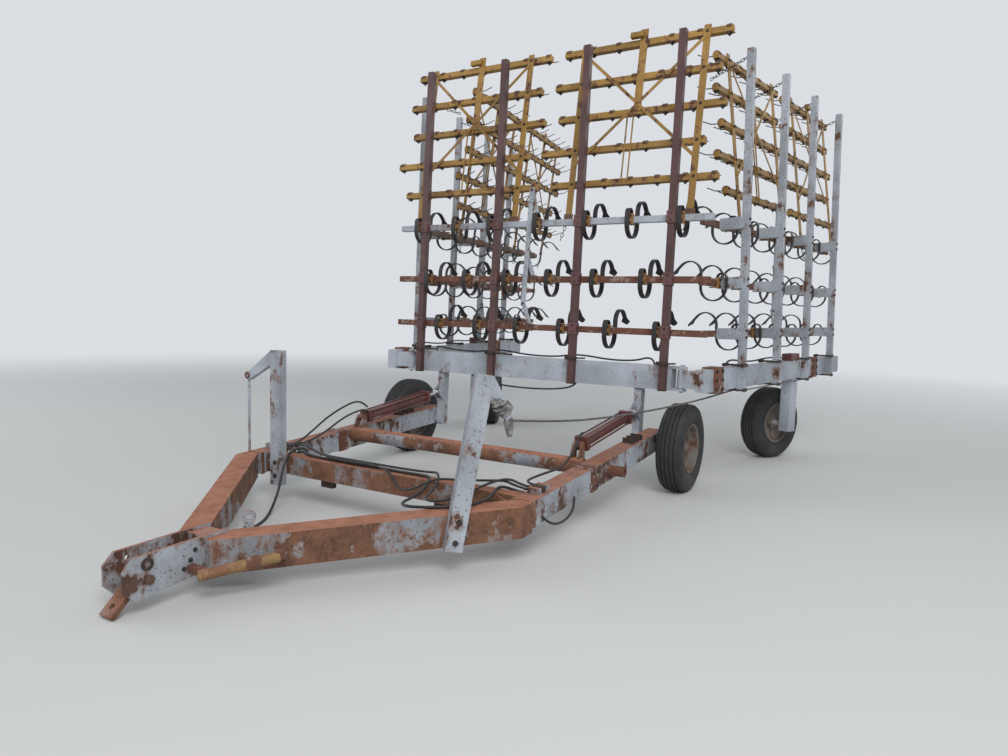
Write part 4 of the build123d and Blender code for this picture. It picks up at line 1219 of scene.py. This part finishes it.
def steel_wheel():
    """A drop-centre rim with its dished disc, hub, nuts and dust cap, outer side towards +X."""
    parts = [lathed("rim", RIM_SECTION, 64), lathed("disc", DISC_SECTION, 48), lathed("hub", HUB_SECTION, 32)]
    for part in parts:
        painted(part, "wheel_paint")
    for k in range(WHEEL_NUTS):
        spot = Matrix.Rotation(k * math.tau / WHEEL_NUTS, 4, "X") @ at(-0.004, 0, 0.068) @ OUTWARDS
        parts.append(painted(put(bolt("wheel_nut", 0.012, 0.013, 0.006), spot), "dark_iron"))
    return joined("wheel", parts)


class WEEDER_OT_wheels(bpy.types.Operator):
    """Ribbed tyres on steel wheels"""

    bl_idname = "weeder.wheels"
    bl_label = "Model the wheels"

    def execute(self, context):
        tyre, wheel = ribbed_tyre(context.scene.weeder_sizes), steel_wheel()
        leg = ON_WING @ at(WING_LEG_X, WING_TOOLBAR_Y, 0) @ Matrix.Rotation(-WING_LEG_TURN, 4, "Z")
        for name, place in (
            ("main", at(MAIN_WHEEL_X, SHIFT_Y, AXLE_Z)),
            ("wing", leg @ at(0, WING_WHEEL_REACH, AXLE_Z) @ turned(90, "Z")),
        ):
            body = name + "_wheel_{side}"
            both_sides(copied(tyre, place), f"{name}_ribbed_tyre", body, "tyre", f"{name}_tyre")
            both_sides(copied(wheel, place), f"{name}_steel_wheel", body, "wheel_white", f"{name}_rim")
        bpy.data.objects.remove(tyre)
        bpy.data.objects.remove(wheel)
        return {"FINISHED"}


# Clamps, links and chains


def strap_clamp(reach, flush=False):
    """A strap across a rib with two long bolts over the toolbar.

    A flush one has its nuts behind the toolbar.
    """
    thick = 0.003 if flush else 0.012
    parts = [block("strap", (0.112, thick, 0.034), (0, -thick / 2, 0), edge=0.002)]
    start, seat, turn = -0.030, -thick, TO_FRONT
    if flush:
        parts.append(block("rear_strap", (0.112, 0.008, 0.034), (0, reach - 0.018, 0), edge=0.002))
        start, seat, turn = 0.004, reach - 0.014, TO_REAR
    for x in (-0.044, 0.044):
        parts.append(rod("long_bolt", (x, start, 0), (x, reach, 0), 0.008, 10))
        parts.append(put(bolt("nut", 0.014, 0.012), at(x, seat, 0) @ turn))
    return painted(joined("strap_clamp", parts), "dark_iron")


def flat_bar(name, start, end, width, thick):
    """A pale flat bar with rounded edges between two points in an XZ plane, pinned at both."""
    start, end = Vector(start), Vector(end)
    run = end - start
    bar = block(name, (width, thick, run.length + width), edge=0.002, segments=1)
    put(bar, Matrix.Translation((start + end) / 2) @ Matrix.Rotation(math.atan2(run.x, run.z), 4, "Y"))
    parts = [painted(bar, "pale_rib")]
    half_pin = Vector((0, thick, 0))
    for spot in (start, end):
        parts.append(painted(rod("pin", spot - half_pin, spot + half_pin, 0.014, 12), "dark_iron"))
    return joined(name, parts)


LINK_RISE = {"top": 0.330, "middle": 0.235, "bottom": 0.235}


def pitch_link(x, bar_y):
    """The long link that keeps the rows at one pitch, with its lugs on the three bars."""
    y = bar_y - 0.046
    low = Vector((x - 0.030, y, ROW_HEIGHTS["bottom"] + LINK_RISE["bottom"]))
    high = Vector((x + 0.010, y, ROW_HEIGHTS["top"] + LINK_RISE["top"]))
    parts = [flat_bar("long_link", low, high, 0.052, 0.012)]
    for name, z in ROW_HEIGHTS.items():
        share = (z + LINK_RISE[name] - low.z) / (high.z - low.z)
        spot = low.lerp(high, share)
        foot = Vector((spot.x + 0.085, y + 0.010, z + 0.010))
        parts.append(flat_bar("lug", foot, spot + Vector((0, 0.012, 0)), 0.044, 0.010))
        parts.append(painted(block("lug_foot", (0.070, 0.014, 0.074), (foot.x, y + 0.009, z)), "brown_clamp"))
    return joined("pitch_link", parts)


def rib_bolts(places, face):
    """Two bolts on the front face of each rib at every row."""
    heights = [z + rise for z in ROW_HEIGHTS.values() for rise in (-0.032, 0.032)]
    spots = [at(x, face - 0.001, z) @ TO_FRONT for x in places for z in heights]
    return painted(repeated("rib_bolts", bolt("rib_bolt", 0.012, 0.009), spots), "dark_iron")


def short_chain(start, end):
    """A short chain that hangs from a rib or a bar."""
    return painted(chain("chain", start, end, 0.040, 0.0036), "dark_iron")


def centre_fittings():
    """Clamps, sleeves, feet, the pitch link and the chains of the centre frame."""
    face = RIB_Y - RIB / 2
    parts = [repeated("clamps", strap_clamp(0.232), [at(x, face, 1.152) for x in CENTRE_RIBS])]
    parts.append(rib_bolts(CENTRE_RIBS, face))
    for x in CENTRE_RIBS:
        for z in ROW_HEIGHTS.values():
            sleeve = block("sleeve", (0.086, 0.076, 0.114), (x, RIB_Y - 0.006, z), edge=0.004)
            parts.append(painted(sleeve, "maroon_sleeve"))
        foot = block("rib_foot", (0.070, 0.070, 0.012), (x, RIB_Y, 0.909), edge=0.002, segments=1)
        parts.append(painted(foot, "dark_iron"))
    parts.append(pitch_link(-0.095, BAR_Y))
    for x, side in ((-1.506, 1), (-0.306, 1), (0.306, -1), (1.506, -1)):
        parts.append(short_chain((x, -0.030, 2.520), (x + side * 0.060, -0.066, 2.290)))
    return put(joined("centre_fittings", parts), ON_FRAME)


def splice(x):
    """A bolted splice round a wing's toolbar."""
    box = block("splice", (0.180, 0.132, 0.236), (x, WING_TOOLBAR_Y, PIN_MID_Z), edge=0.004)
    parts = [painted(box, "rust_bar")]
    for dx in (-0.062, 0.062):
        for dz in (-0.080, 0.0, 0.080):
            spot = at(x + dx, WING_TOOLBAR_Y - 0.066, PIN_MID_Z + dz) @ TO_FRONT
            parts.append(painted(put(bolt("splice_bolt", 0.014, 0.010), spot), "dark_iron"))
    return parts


def wing_fittings():
    """Clamps, splices, the leg's box, the pitch link and the chains of the left wing."""
    face = WING_RIB_Y - RIB / 2
    spots = [at(x, face, z) for x in WING_RIBS for z in (1.140, 0.906)]
    parts = [repeated("clamps", strap_clamp(0.206, flush=True), spots)]
    parts.append(rib_bolts(WING_RIBS, face))
    parts.append(pitch_link(2.045, WING_BAR_Y))
    parts += splice(2.880) + splice(0.180)
    box = block("leg_box", (0.260, 0.110, 0.075), (WING_LEG_X, WING_TOOLBAR_Y, 1.163), edge=0.006)
    parts.append(painted(box, "maroon_cylinder"))
    for x in WING_RIBS:
        for z in ROW_HEIGHTS.values():
            place = (x, WING_RIB_Y + 0.048, z)
            band = block("bracket_band", (0.096, 0.014, 0.112), place, edge=0.002, segments=1)
            parts.append(painted(band, "pale_rib"))
    for middle in WING_HARROWS.values():
        for side in (-1, 1):
            x = middle + side * MEMBER_X
            parts.append(short_chain((x, -0.012, 2.520), (x - side * 0.055, -0.048, 2.290)))
    for x in WING_RIBS:
        parts.append(short_chain((x, WING_RIB_Y + 0.040, 3.960), (x + 0.060, 0.130, 3.850)))
    return put(joined("wing_fittings", parts), ON_GEAR)


class WEEDER_OT_gear(bpy.types.Operator):
    """Clamps, sleeves, links and chains on the centre frame and the wings"""

    bl_idname = "weeder.gear"
    bl_label = "Fit the clamps, links and chains"

    def execute(self, context):
        ridden(centre_fittings(), "lift_frame")
        both_sides(wing_fittings(), "wing_fittings", "wing_{side}", "dark_steel")
        return {"FINISHED"}


# Carrier


def on_rail(name, size, x, y, rise, edge=0.003):
    """A block that lies along the rail's slope, its middle this far above the rail's top."""
    return block(name, size, (x, y, rail_top(y) + rise), (RAIL_SLOPE, 0, 0), edge)


def toothed_pipe():
    """A short pipe with raised rings, along +X from the origin."""
    bore, ring, groove = 0.028, 0.042, 0.037
    profile = [(0.0, bore), (0.0, ring)]
    for k in range(5):
        x = 0.020 + k * 0.022
        profile += [(x, ring), (x + 0.004, groove), (x + 0.010, groove), (x + 0.014, ring)]
    profile += [(0.134, ring), (0.134, bore)]
    return lathed("toothed_pipe", profile, 28)


def rail_saddle():
    """A saddle over the rail with four bolts on its outer side."""
    y = -1.470
    parts = [painted(on_rail("saddle", (0.176, 0.110, 0.186), RAIL_X, y, -RAIL_HALF, 0.004), "rust_bar")]
    for dy in (-0.036, 0.036):
        for dz in (-0.055, 0.055):
            spot = at(1.353, y + dy, rail_top(y) - RAIL_HALF + dz) @ OUTWARDS
            parts.append(painted(put(bolt("saddle_bolt", 0.013, 0.009), spot), "dark_iron"))
    return parts


def rail_stops():
    """Three stops across the rail near the axle, each with a bolt beside it."""
    parts = []
    for dy in (-0.150, -0.060, 0.030):
        parts.append(on_rail("rail_stop", (0.110, 0.020, 0.046), 1.262, -0.420 + dy, 0.022))
        spot = at(1.300, -0.440 + dy, rail_top(-0.440 + dy) + 0.001)
        parts.append(put(bolt("stop_bolt", 0.013, 0.010, 0.014), spot))
    return [painted(part, "dark_iron") for part in parts]


def rail_valves():
    """Three valves on the rail's front end, with stubs that point inwards."""
    parts = []
    for y, finish in ((-2.262, "pale_rail"), (-2.205, "dark_iron"), (-2.148, "pale_rail")):
        parts.append(painted(on_rail("valve", (0.086, 0.034, 0.042), 1.262, y, 0.020), finish))
        z = rail_top(y) + 0.022
        parts.append(painted(rod("valve_stub", (1.222, y, z), (1.180, y, z), 0.010, 12, 0.001), "dark_iron"))
    return parts


def rail_fittings():
    """All that is fixed to the left rail and beside it."""
    parts = [painted(put(toothed_pipe(), at(1.3395, -1.180, 0.372)), "rust_bar")]
    parts += rail_saddle()
    band = on_rail("end_band", (0.160, 0.030, 0.182), RAIL_X, -2.408, -RAIL_HALF)
    parts.append(painted(band, "rust_beam"))
    parts += rail_stops() + rail_valves()
    gusset = plate("gusset", [(0.0, 0.0), (0.170, 0.0), (0.170, 0.090), (0.040, 0.150), (0.0, 0.150)], 0.012)
    parts.append(painted(put(gusset, at(0.985, -2.386, 0.240) @ TO_FRONT), "rust_beam"))
    hanger = block("hanger", (0.120, 0.050, 0.060), (0.550, FRONT_BEAM_Y, 0.205), edge=0.004)
    parts.append(painted(hanger, "dark_iron"))
    return put(joined("rail_fittings", parts), ON_CARRIER)


def post_bolts(*heights):
    """Bolts through the foot of a cable post."""
    bolts = [put(bolt("post_bolt", 0.015, 0.011), at(0, -0.0705, z) @ TO_FRONT) for z in heights]
    return [painted(head, "dark_iron") for head in bolts]


def wound_cloth():
    """Cloth wound about the left post's arm, with its tail hanging."""
    parts = []
    for k, radius in enumerate((0.040, 0.044, 0.047, 0.045, 0.042, 0.037)):
        bpy.ops.object.select_all(action="DESELECT")
        bpy.ops.mesh.primitive_torus_add(
            major_segments=24, minor_segments=8, major_radius=radius, minor_radius=0.012
        )
        lean = turned(-58 + 11 * k, "Y") @ turned(5 * (k % 3), "X")
        parts.append(smooth(put(added("wrap"), at(0.180 - 0.020 * k, -0.035, 1.035 + 0.013 * k) @ lean), 60))
    profile = [(0.0, 0.002), (0.006, 0.024), (0.040, 0.034), (0.080, 0.026), (0.128, 0.016), (0.132, 0.002)]
    parts.append(put(lathed("wrap_tail", profile, 18), at(0.195, -0.035, 1.010) @ turned(75, "Y")))
    return [painted(part, "faded_cloth") for part in parts]


def mirrored_ring(half):
    """A ring's closed section from the half of it that faces along +X."""
    other = [(-x, radius) for x, radius in half]
    return [other[0]] + half + other[:0:-1]


def arm_eye():
    """The eye at the end of the right post's arm."""
    half = [(0.030, 0.012), (0.034, 0.020), (0.030, 0.030)]
    eye = put(lathed("arm_eye", mirrored_ring(half), 24), at(0.330, -0.035, 1.016) @ turned(90, "Z"))
    return painted(eye, "brown_clamp")


def jaw_side(side):
    """Bushing, bolts and pin head on one cheek of the hitch jaw."""
    ring = lathed("bushing", mirrored_ring([(0.006, 0.017), (0.006, 0.034)]), 32)
    parts = [painted(put(ring, at(side * 0.096, -4.272, 0.260)), "dark_iron")]
    for y, z in ((-4.02, 0.21), (-3.99, 0.26), (-4.06, 0.17), (-3.90, 0.19), (-3.90, 0.28)):
        spot = at(side * JAW_FACE_X, y, z) @ turned(side * 90, "Y")
        parts.append(painted(put(bolt("jaw_bolt", 0.011, 0.008), spot), "dark_iron"))
    start, end = (side * JAW_FACE_X, -4.262, 0.175), (side * 0.108, -4.262, 0.175)
    parts.append(painted(rod("pin_head", start, end, 0.026, 20, 0.002), "brown_clamp"))
    return parts


def lug_ring():
    """A ring on a short stand on the left tongue beam."""
    half = [(0.010, 0.018), (0.012, 0.028), (0.010, 0.040)]
    ring = put(lathed("lug_ring", mirrored_ring(half), 32), at(0.110, -3.640, 0.362) @ turned(-40, "Z"))
    turn = (0, 0, math.radians(-40))
    stand = block("lug_stand", (0.018, 0.060, 0.040), (0.110, -3.640, 0.318), turn, segments=1)
    return [painted(ring, "pale_rail"), painted(stand, "pale_rail")]


def stand_pipe():
    """The parking stand's pipe along the left tongue beam, with its collar and lugs."""
    start, end = Vector((0.222, -4.070, 0.160)), Vector((0.432, -3.700, 0.205))
    run = end - start
    parts = [painted(rod("stand_pipe", start, end, 0.030, 24, 0.003), "old_yellow")]
    parts.append(rod("stand_collar", start + run * 0.58, start + run * 0.74, 0.038, 24, 0.003))
    turn = (0, 0, math.radians(-41))
    parts.append(block("stand_lug", (0.130, 0.060, 0.050), (0.400, -3.660, 0.215), turn, 0.004))
    parts.append(block("front_lug", (0.120, 0.044, 0.044), (0.152, -4.020, 0.165), edge=0.004))
    for part in parts[1:]:
        painted(part, "rust_bar")
    return parts


# Control points of the two taut lines: one on the carrier, the other along the left wing's toolbar
STAY_ROUTE = [
    (1.292, -2.657, 0.935), (1.360, -2.100, 0.865), (1.460, -1.450, 0.835), (1.580, -0.750, 0.832),
    (1.710, -0.100, 0.852), (1.800, 0.350, 0.885), (1.860, 0.560, 0.905),
]
WING_CABLE_ROUTE = [
    (0.560, -0.286, 0.905), (0.640, -0.286, 0.898), (1.200, -0.280, 0.902), (2.000, -0.280, 0.903),
    (2.800, -0.276, 0.905),
]


class WEEDER_OT_carrier(bpy.types.Operator):
    """Fittings of the rails, the cable posts, the tongue beams and the hitch jaw"""

    bl_idname = "weeder.carrier"
    bl_label = "Fit the carrier"

    def execute(self, context):
        both_sides(rail_fittings(), "rail_fittings", "carrier", "rust_brown")
        left_post = joined("left_post_fittings", post_bolts(0.205, 0.335) + wound_cloth())
        ridden(put(left_post, ON_LEFT_POST), "carrier")
        right_post = joined("right_post_fittings", post_bolts(0.225, 0.335) + [arm_eye()])
        ridden(put(right_post, ON_RIGHT_POST), "carrier")
        hitch = joined("hitch_fittings", jaw_side(-1) + jaw_side(1) + lug_ring() + stand_pipe())
        ridden(put(hitch, ON_CARRIER), "carrier")
        for name, body, place, route, radius in (
            ("cable_stay", "carrier", ON_CARRIER, STAY_ROUTE, 0.0075),
            ("wing_cable", "wing_left", ON_WING, WING_CABLE_ROUTE, 0.0065),
        ):
            line = tube(name, [place @ Vector(point) for point in route], radius)
            ridden(painted(line, "wire_rope"), body)
        return {"FINISHED"}


# Hoses

# Heights of a thick hose's middle above a rail's top, on the front beam and on the ground
HOSE = 0.020
HOSE_REST = HOSE / 2 + 0.003
OVER_BEAM = rail_top(FRONT_BEAM_Y) - 0.005 + HOSE_REST
GROUND_REST = HOSE / 2 + 0.001

# Faces of the glands on the rails and the ends of their ferrules, and then each hose's control points
GLAND_FACE = 1.1897
GLAND_END = 1.1497
GLAND_Z = 0.345
CROSS_HOSE = [
    (GLAND_END, -2.120, GLAND_Z), (1.085, -2.124, 0.347), (1.035, -2.152, 0.364), (1.000, -2.205, 0.388),
    (1.000, -2.280, OVER_BEAM + 0.006), (1.022, -2.370, OVER_BEAM + 0.004),
    (1.055, -2.470, OVER_BEAM - 0.005), (1.080, -2.580, rail_top(-2.580) + HOSE_REST + 0.004),
    (1.060, -2.690, rail_top(-2.690) + HOSE_REST), (0.975, -2.795, rail_top(-2.795) + HOSE_REST),
    (0.860, -2.880, rail_top(-2.880) + HOSE_REST), (0.735, -2.910, 0.362), (0.620, -2.860, 0.345),
    (0.550, -2.760, 0.332), (0.522, -2.640, 0.326), (0.525, -2.520, 0.348),
    (0.508, -2.430, OVER_BEAM - 0.006), (0.455, -2.335, OVER_BEAM + 0.008), (0.360, -2.300, OVER_BEAM),
    (0.180, -2.312, OVER_BEAM), (-0.040, -2.296, OVER_BEAM), (-0.260, -2.316, OVER_BEAM),
    (-0.480, -2.298, OVER_BEAM), (-0.660, -2.306, OVER_BEAM), (-0.770, -2.296, OVER_BEAM + 0.002),
    (-0.865, -2.262, OVER_BEAM + 0.006), (-0.955, -2.205, OVER_BEAM - 0.004), (-1.035, -2.152, 0.366),
    (-1.085, -2.124, 0.347), (-GLAND_END, -2.120, GLAND_Z),
]
TAIL_HOSE = [
    (-GLAND_END, -2.040, GLAND_Z), (-1.085, -2.042, 0.346), (-1.020, -2.075, 0.358), (-0.955, -2.140, 0.388),
    (-0.930, -2.215, OVER_BEAM + 0.030), (-0.925, -2.310, OVER_BEAM + 0.032),
    (-0.905, -2.400, OVER_BEAM + 0.006), (-0.880, -2.470, 0.330), (-0.865, -2.510, 0.235),
    (-0.855, -2.550, 0.135), (-0.825, -2.625, 0.055), (-0.760, -2.730, GROUND_REST),
    (-0.660, -2.870, GROUND_REST), (-0.590, -3.040, GROUND_REST), (-0.500, -3.200, GROUND_REST),
    (-0.360, -3.300, GROUND_REST), (-0.220, -3.340, GROUND_REST), (-0.120, -3.420, GROUND_REST),
]

# Control points of the thin hoses on the carrier, on the centre toolbar and on a wing's toolbar
THIN_HOSE = 0.017
CARRIER_HOSES = {
    "lift_hose_right": [
        (-1.180, -2.205, 0.419), (-1.120, -2.200, 0.425), (-1.075, -2.120, 0.450), (-1.070, -1.980, 0.520),
        (-1.085, -1.800, 0.610), (-1.095, -1.600, 0.680), (-1.105, -1.420, 0.720), (-1.118, -1.290, 0.705),
        (-1.122, -1.215, 0.650),
    ],
    "return_hose_right": [
        (-1.180, -2.148, 0.422), (-1.120, -2.140, 0.430), (-1.050, -2.040, 0.440), (-1.020, -1.860, 0.510),
        (-1.030, -1.650, 0.600), (-1.045, -1.450, 0.640), (-1.070, -1.300, 0.640), (-1.098, -1.215, 0.600),
    ],
    "valve_hose_front": [
        (1.180, -2.262, 0.418), (1.110, -2.262, 0.425), (1.020, -2.240, 0.444), (0.880, -2.280, 0.430),
        (0.700, -2.345, 0.422), (0.540, -2.405, 0.420), (0.400, -2.460, 0.330), (0.250, -2.440, 0.300),
        (0.120, -2.370, 0.404), (-0.060, -2.342, 0.424), (-0.300, -2.350, 0.420), (-0.520, -2.345, 0.424),
        (-0.720, -2.300, 0.446), (-0.900, -2.230, 0.466), (-1.050, -2.245, 0.440), (-1.120, -2.262, 0.425),
        (-1.180, -2.262, 0.418),
    ],
    "valve_hose_loop": [
        (1.180, -2.205, 0.419), (1.120, -2.205, 0.426), (1.050, -2.260, 0.470), (0.960, -2.400, 0.440),
        (0.860, -2.540, 0.370), (0.770, -2.640, 0.345), (0.690, -2.670, 0.340), (0.630, -2.620, 0.340),
        (0.605, -2.510, 0.365), (0.590, -2.420, 0.410), (0.520, -2.330, 0.446), (0.400, -2.266, 0.420),
        (0.240, -2.266, 0.412), (-0.140, -2.272, 0.414), (-0.400, -2.266, 0.412), (-0.620, -2.270, 0.414),
        (-0.800, -2.235, 0.430), (-0.930, -2.165, 0.466), (-1.030, -2.150, 0.452), (-1.080, -2.166, 0.440),
    ],
    "lift_hose_left": [
        (1.180, -2.148, 0.422), (1.120, -2.130, 0.430), (1.105, -2.020, 0.430), (1.150, -1.900, 0.452),
        (1.178, -1.700, 0.458), (1.165, -1.500, 0.520), (1.145, -1.340, 0.620), (1.125, -1.250, 0.655),
        (1.122, -1.205, 0.645),
    ],
    "rail_loop": [
        (1.342, -2.300, 0.260), (1.375, -2.270, 0.215), (1.388, -2.140, 0.178), (1.384, -1.980, 0.186),
        (1.370, -1.860, 0.238), (1.342, -1.810, 0.290),
    ],
}
FRAME_HOSES = {
    "toolbar_loop": [
        (-0.760, 0.020, 0.910), (-0.735, 0.010, 0.870), (-0.560, 0.000, 0.836), (-0.250, -0.010, 0.815),
        (0.050, -0.010, 0.815), (0.300, 0.000, 0.836), (0.435, 0.010, 0.870), (0.460, 0.020, 0.910),
    ],
    "toolbar_hose": [
        (-1.240, 0.020, 1.136), (-1.236, 0.010, 1.170), (-1.180, -0.030, 1.188), (-0.950, -0.030, 1.156),
        (-0.700, 0.030, 1.152), (-0.540, 0.060, 1.184), (-0.390, 0.055, 1.182), (-0.100, 0.040, 1.150),
        (0.200, 0.050, 1.150), (0.390, 0.050, 1.180), (0.530, 0.045, 1.182), (0.800, 0.035, 1.152),
        (1.060, 0.020, 1.160), (1.180, 0.015, 1.200), (1.240, 0.012, 1.175), (1.250, 0.010, 1.136),
    ],
}
WING_HOSE = [
    (0.450, -0.210, 1.136), (0.456, -0.215, 1.172), (0.560, -0.220, 1.192), (0.720, -0.215, 1.178),
    (1.100, -0.200, 1.152), (1.470, -0.205, 1.176), (1.650, -0.215, 1.176), (1.900, -0.210, 1.158),
    (2.040, -0.210, 1.176), (2.100, -0.210, 1.170),
]


def hose_fitting():
    """A hexagon and a crimped ferrule along -X from a rail's inner face at the origin."""
    ferrule = [
        (-0.040, 0.0102), (-0.040, 0.0135), (-0.034, 0.0142), (-0.031, 0.0128), (-0.027, 0.0142),
        (-0.020, 0.0142), (-0.018, 0.0102),
    ]
    nut = put(bolt("gland_nut", 0.0168, 0.016), turned(-90, "Y"))
    return painted(joined("hose_fitting", [lathed("ferrule", ferrule, 24), nut]), "bright_rod")


def tail_coupler():
    """The coupler that ends the tail hose on the ground."""
    profile = [
        (0.0, 0.002), (0.0, 0.0125), (0.010, 0.0155), (0.030, 0.0155), (0.034, 0.0125), (0.058, 0.0125),
        (0.062, 0.0150), (0.088, 0.0150), (0.092, 0.0115), (0.110, 0.0110), (0.110, 0.002),
    ]
    end = Vector(TAIL_HOSE[-1])
    way = end - Vector(TAIL_HOSE[-2])
    aim = Matrix.Translation(end + Vector((0, SHIFT_Y, 0.006)))
    aim = aim @ Matrix.Rotation(math.atan2(way.y, way.x), 4, "Z")
    return painted(put(lathed("coupler", profile, 28), aim), "bright_rod")


def laid_hose(name, points, diameter, body):
    """A hose along its control points, and its length."""
    line = painted(tube(name, points, diameter / 2, 8, 4), "hose_rubber")
    ridden(line, body)
    return line, line.data.splines[0].calc_length()


class WEEDER_OT_hoses(bpy.types.Operator):
    """Hydraulic hoses over the front cross beam, on the toolbars and down to the ground"""

    bl_idname = "weeder.hoses"
    bl_label = "Lay the hoses"

    def execute(self, context):
        glands = [at(GLAND_FACE, route[0][1] + SHIFT_Y, GLAND_Z) for route in (CROSS_HOSE, TAIL_HOSE)]
        left = put(hose_fitting(), glands[0])
        left.name = "gland_left"
        right = repeated("glands_right", hose_fitting(), [FLIP @ gland for gland in glands])
        coupler = tail_coupler()
        for piece, node in (
            (left, "hose_gland_left"),
            (right, "hose_glands_right"),
            (coupler, "tail_coupler"),
        ):
            ridden(piece, "carrier")
            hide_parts(node)
        for name, route, far_end, pieces in (
            ("cross_hose", CROSS_HOSE, "object", [left, right]),
            ("tail_hose", TAIL_HOSE, "plug", [coupler]),
        ):
            points = [(x, y + SHIFT_Y, z) for x, y, z in route]
            line, length = laid_hose(f"laid_{name}", points, HOSE, "carrier")
            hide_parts(name)
        for body, place, routes in (
            ("carrier", ON_CARRIER, CARRIER_HOSES),
            ("lift_frame", ON_FRAME, FRAME_HOSES),
            ("wing_left", ON_GEAR, {"wing_hose_left": WING_HOSE}),
            ("wing_right", FLIP @ ON_GEAR, {"wing_hose_right": WING_HOSE}),
        ):
            for name, route in routes.items():
                points = [place @ Vector(point) for point in route]
                line, length = laid_hose(name, points, THIN_HOSE, body)
        return {"FINISHED"}


# Panel and run


class WEEDER_PT_panel(bpy.types.Panel):
    """Lists the steps that dress the weeder"""

    bl_idname = "WEEDER_PT_panel"
    bl_label = "Weeder"
    bl_space_type = "VIEW_3D"
    bl_region_type = "UI"
    bl_category = "Weeder"

    def draw(self, context):
        for step in STEPS:
            self.layout.operator(step.bl_idname)
        for holder in (context.scene.weeder_sizes, context.scene.weeder_colours, context.scene.weeder_stage):
            for label in holder.__annotations__:
                self.layout.prop(holder, label)


STEPS = [
    WEEDER_OT_finishes,
    WEEDER_OT_stage,
    WEEDER_OT_tines,
    WEEDER_OT_harrows,
    WEEDER_OT_wheels,
    WEEDER_OT_gear,
    WEEDER_OT_carrier,
    WEEDER_OT_hoses,
]
CLASSES = [WeederSizes, WeederColours, WeederStage] + STEPS + [WEEDER_PT_panel]


def register():
    for one in CLASSES:
        bpy.utils.register_class(one)
    bpy.types.Scene.weeder_sizes = PointerProperty(type=WeederSizes)
    bpy.types.Scene.weeder_colours = PointerProperty(type=WeederColours)
    bpy.types.Scene.weeder_stage = PointerProperty(type=WeederStage)


def unregister():
    del bpy.types.Scene.weeder_sizes
    del bpy.types.Scene.weeder_colours
    del bpy.types.Scene.weeder_stage
    for one in reversed(CLASSES):
        bpy.utils.unregister_class(one)


def main():
    """Register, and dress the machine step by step."""
    register()
    bpy.ops.weeder.finishes()
    bpy.ops.weeder.stage()
    bpy.ops.weeder.tines()
    bpy.ops.weeder.harrows()
    bpy.ops.weeder.wheels()
    bpy.ops.weeder.gear()
    bpy.ops.weeder.carrier()
    bpy.ops.weeder.hoses()


if __name__ == "__main__":
    main()
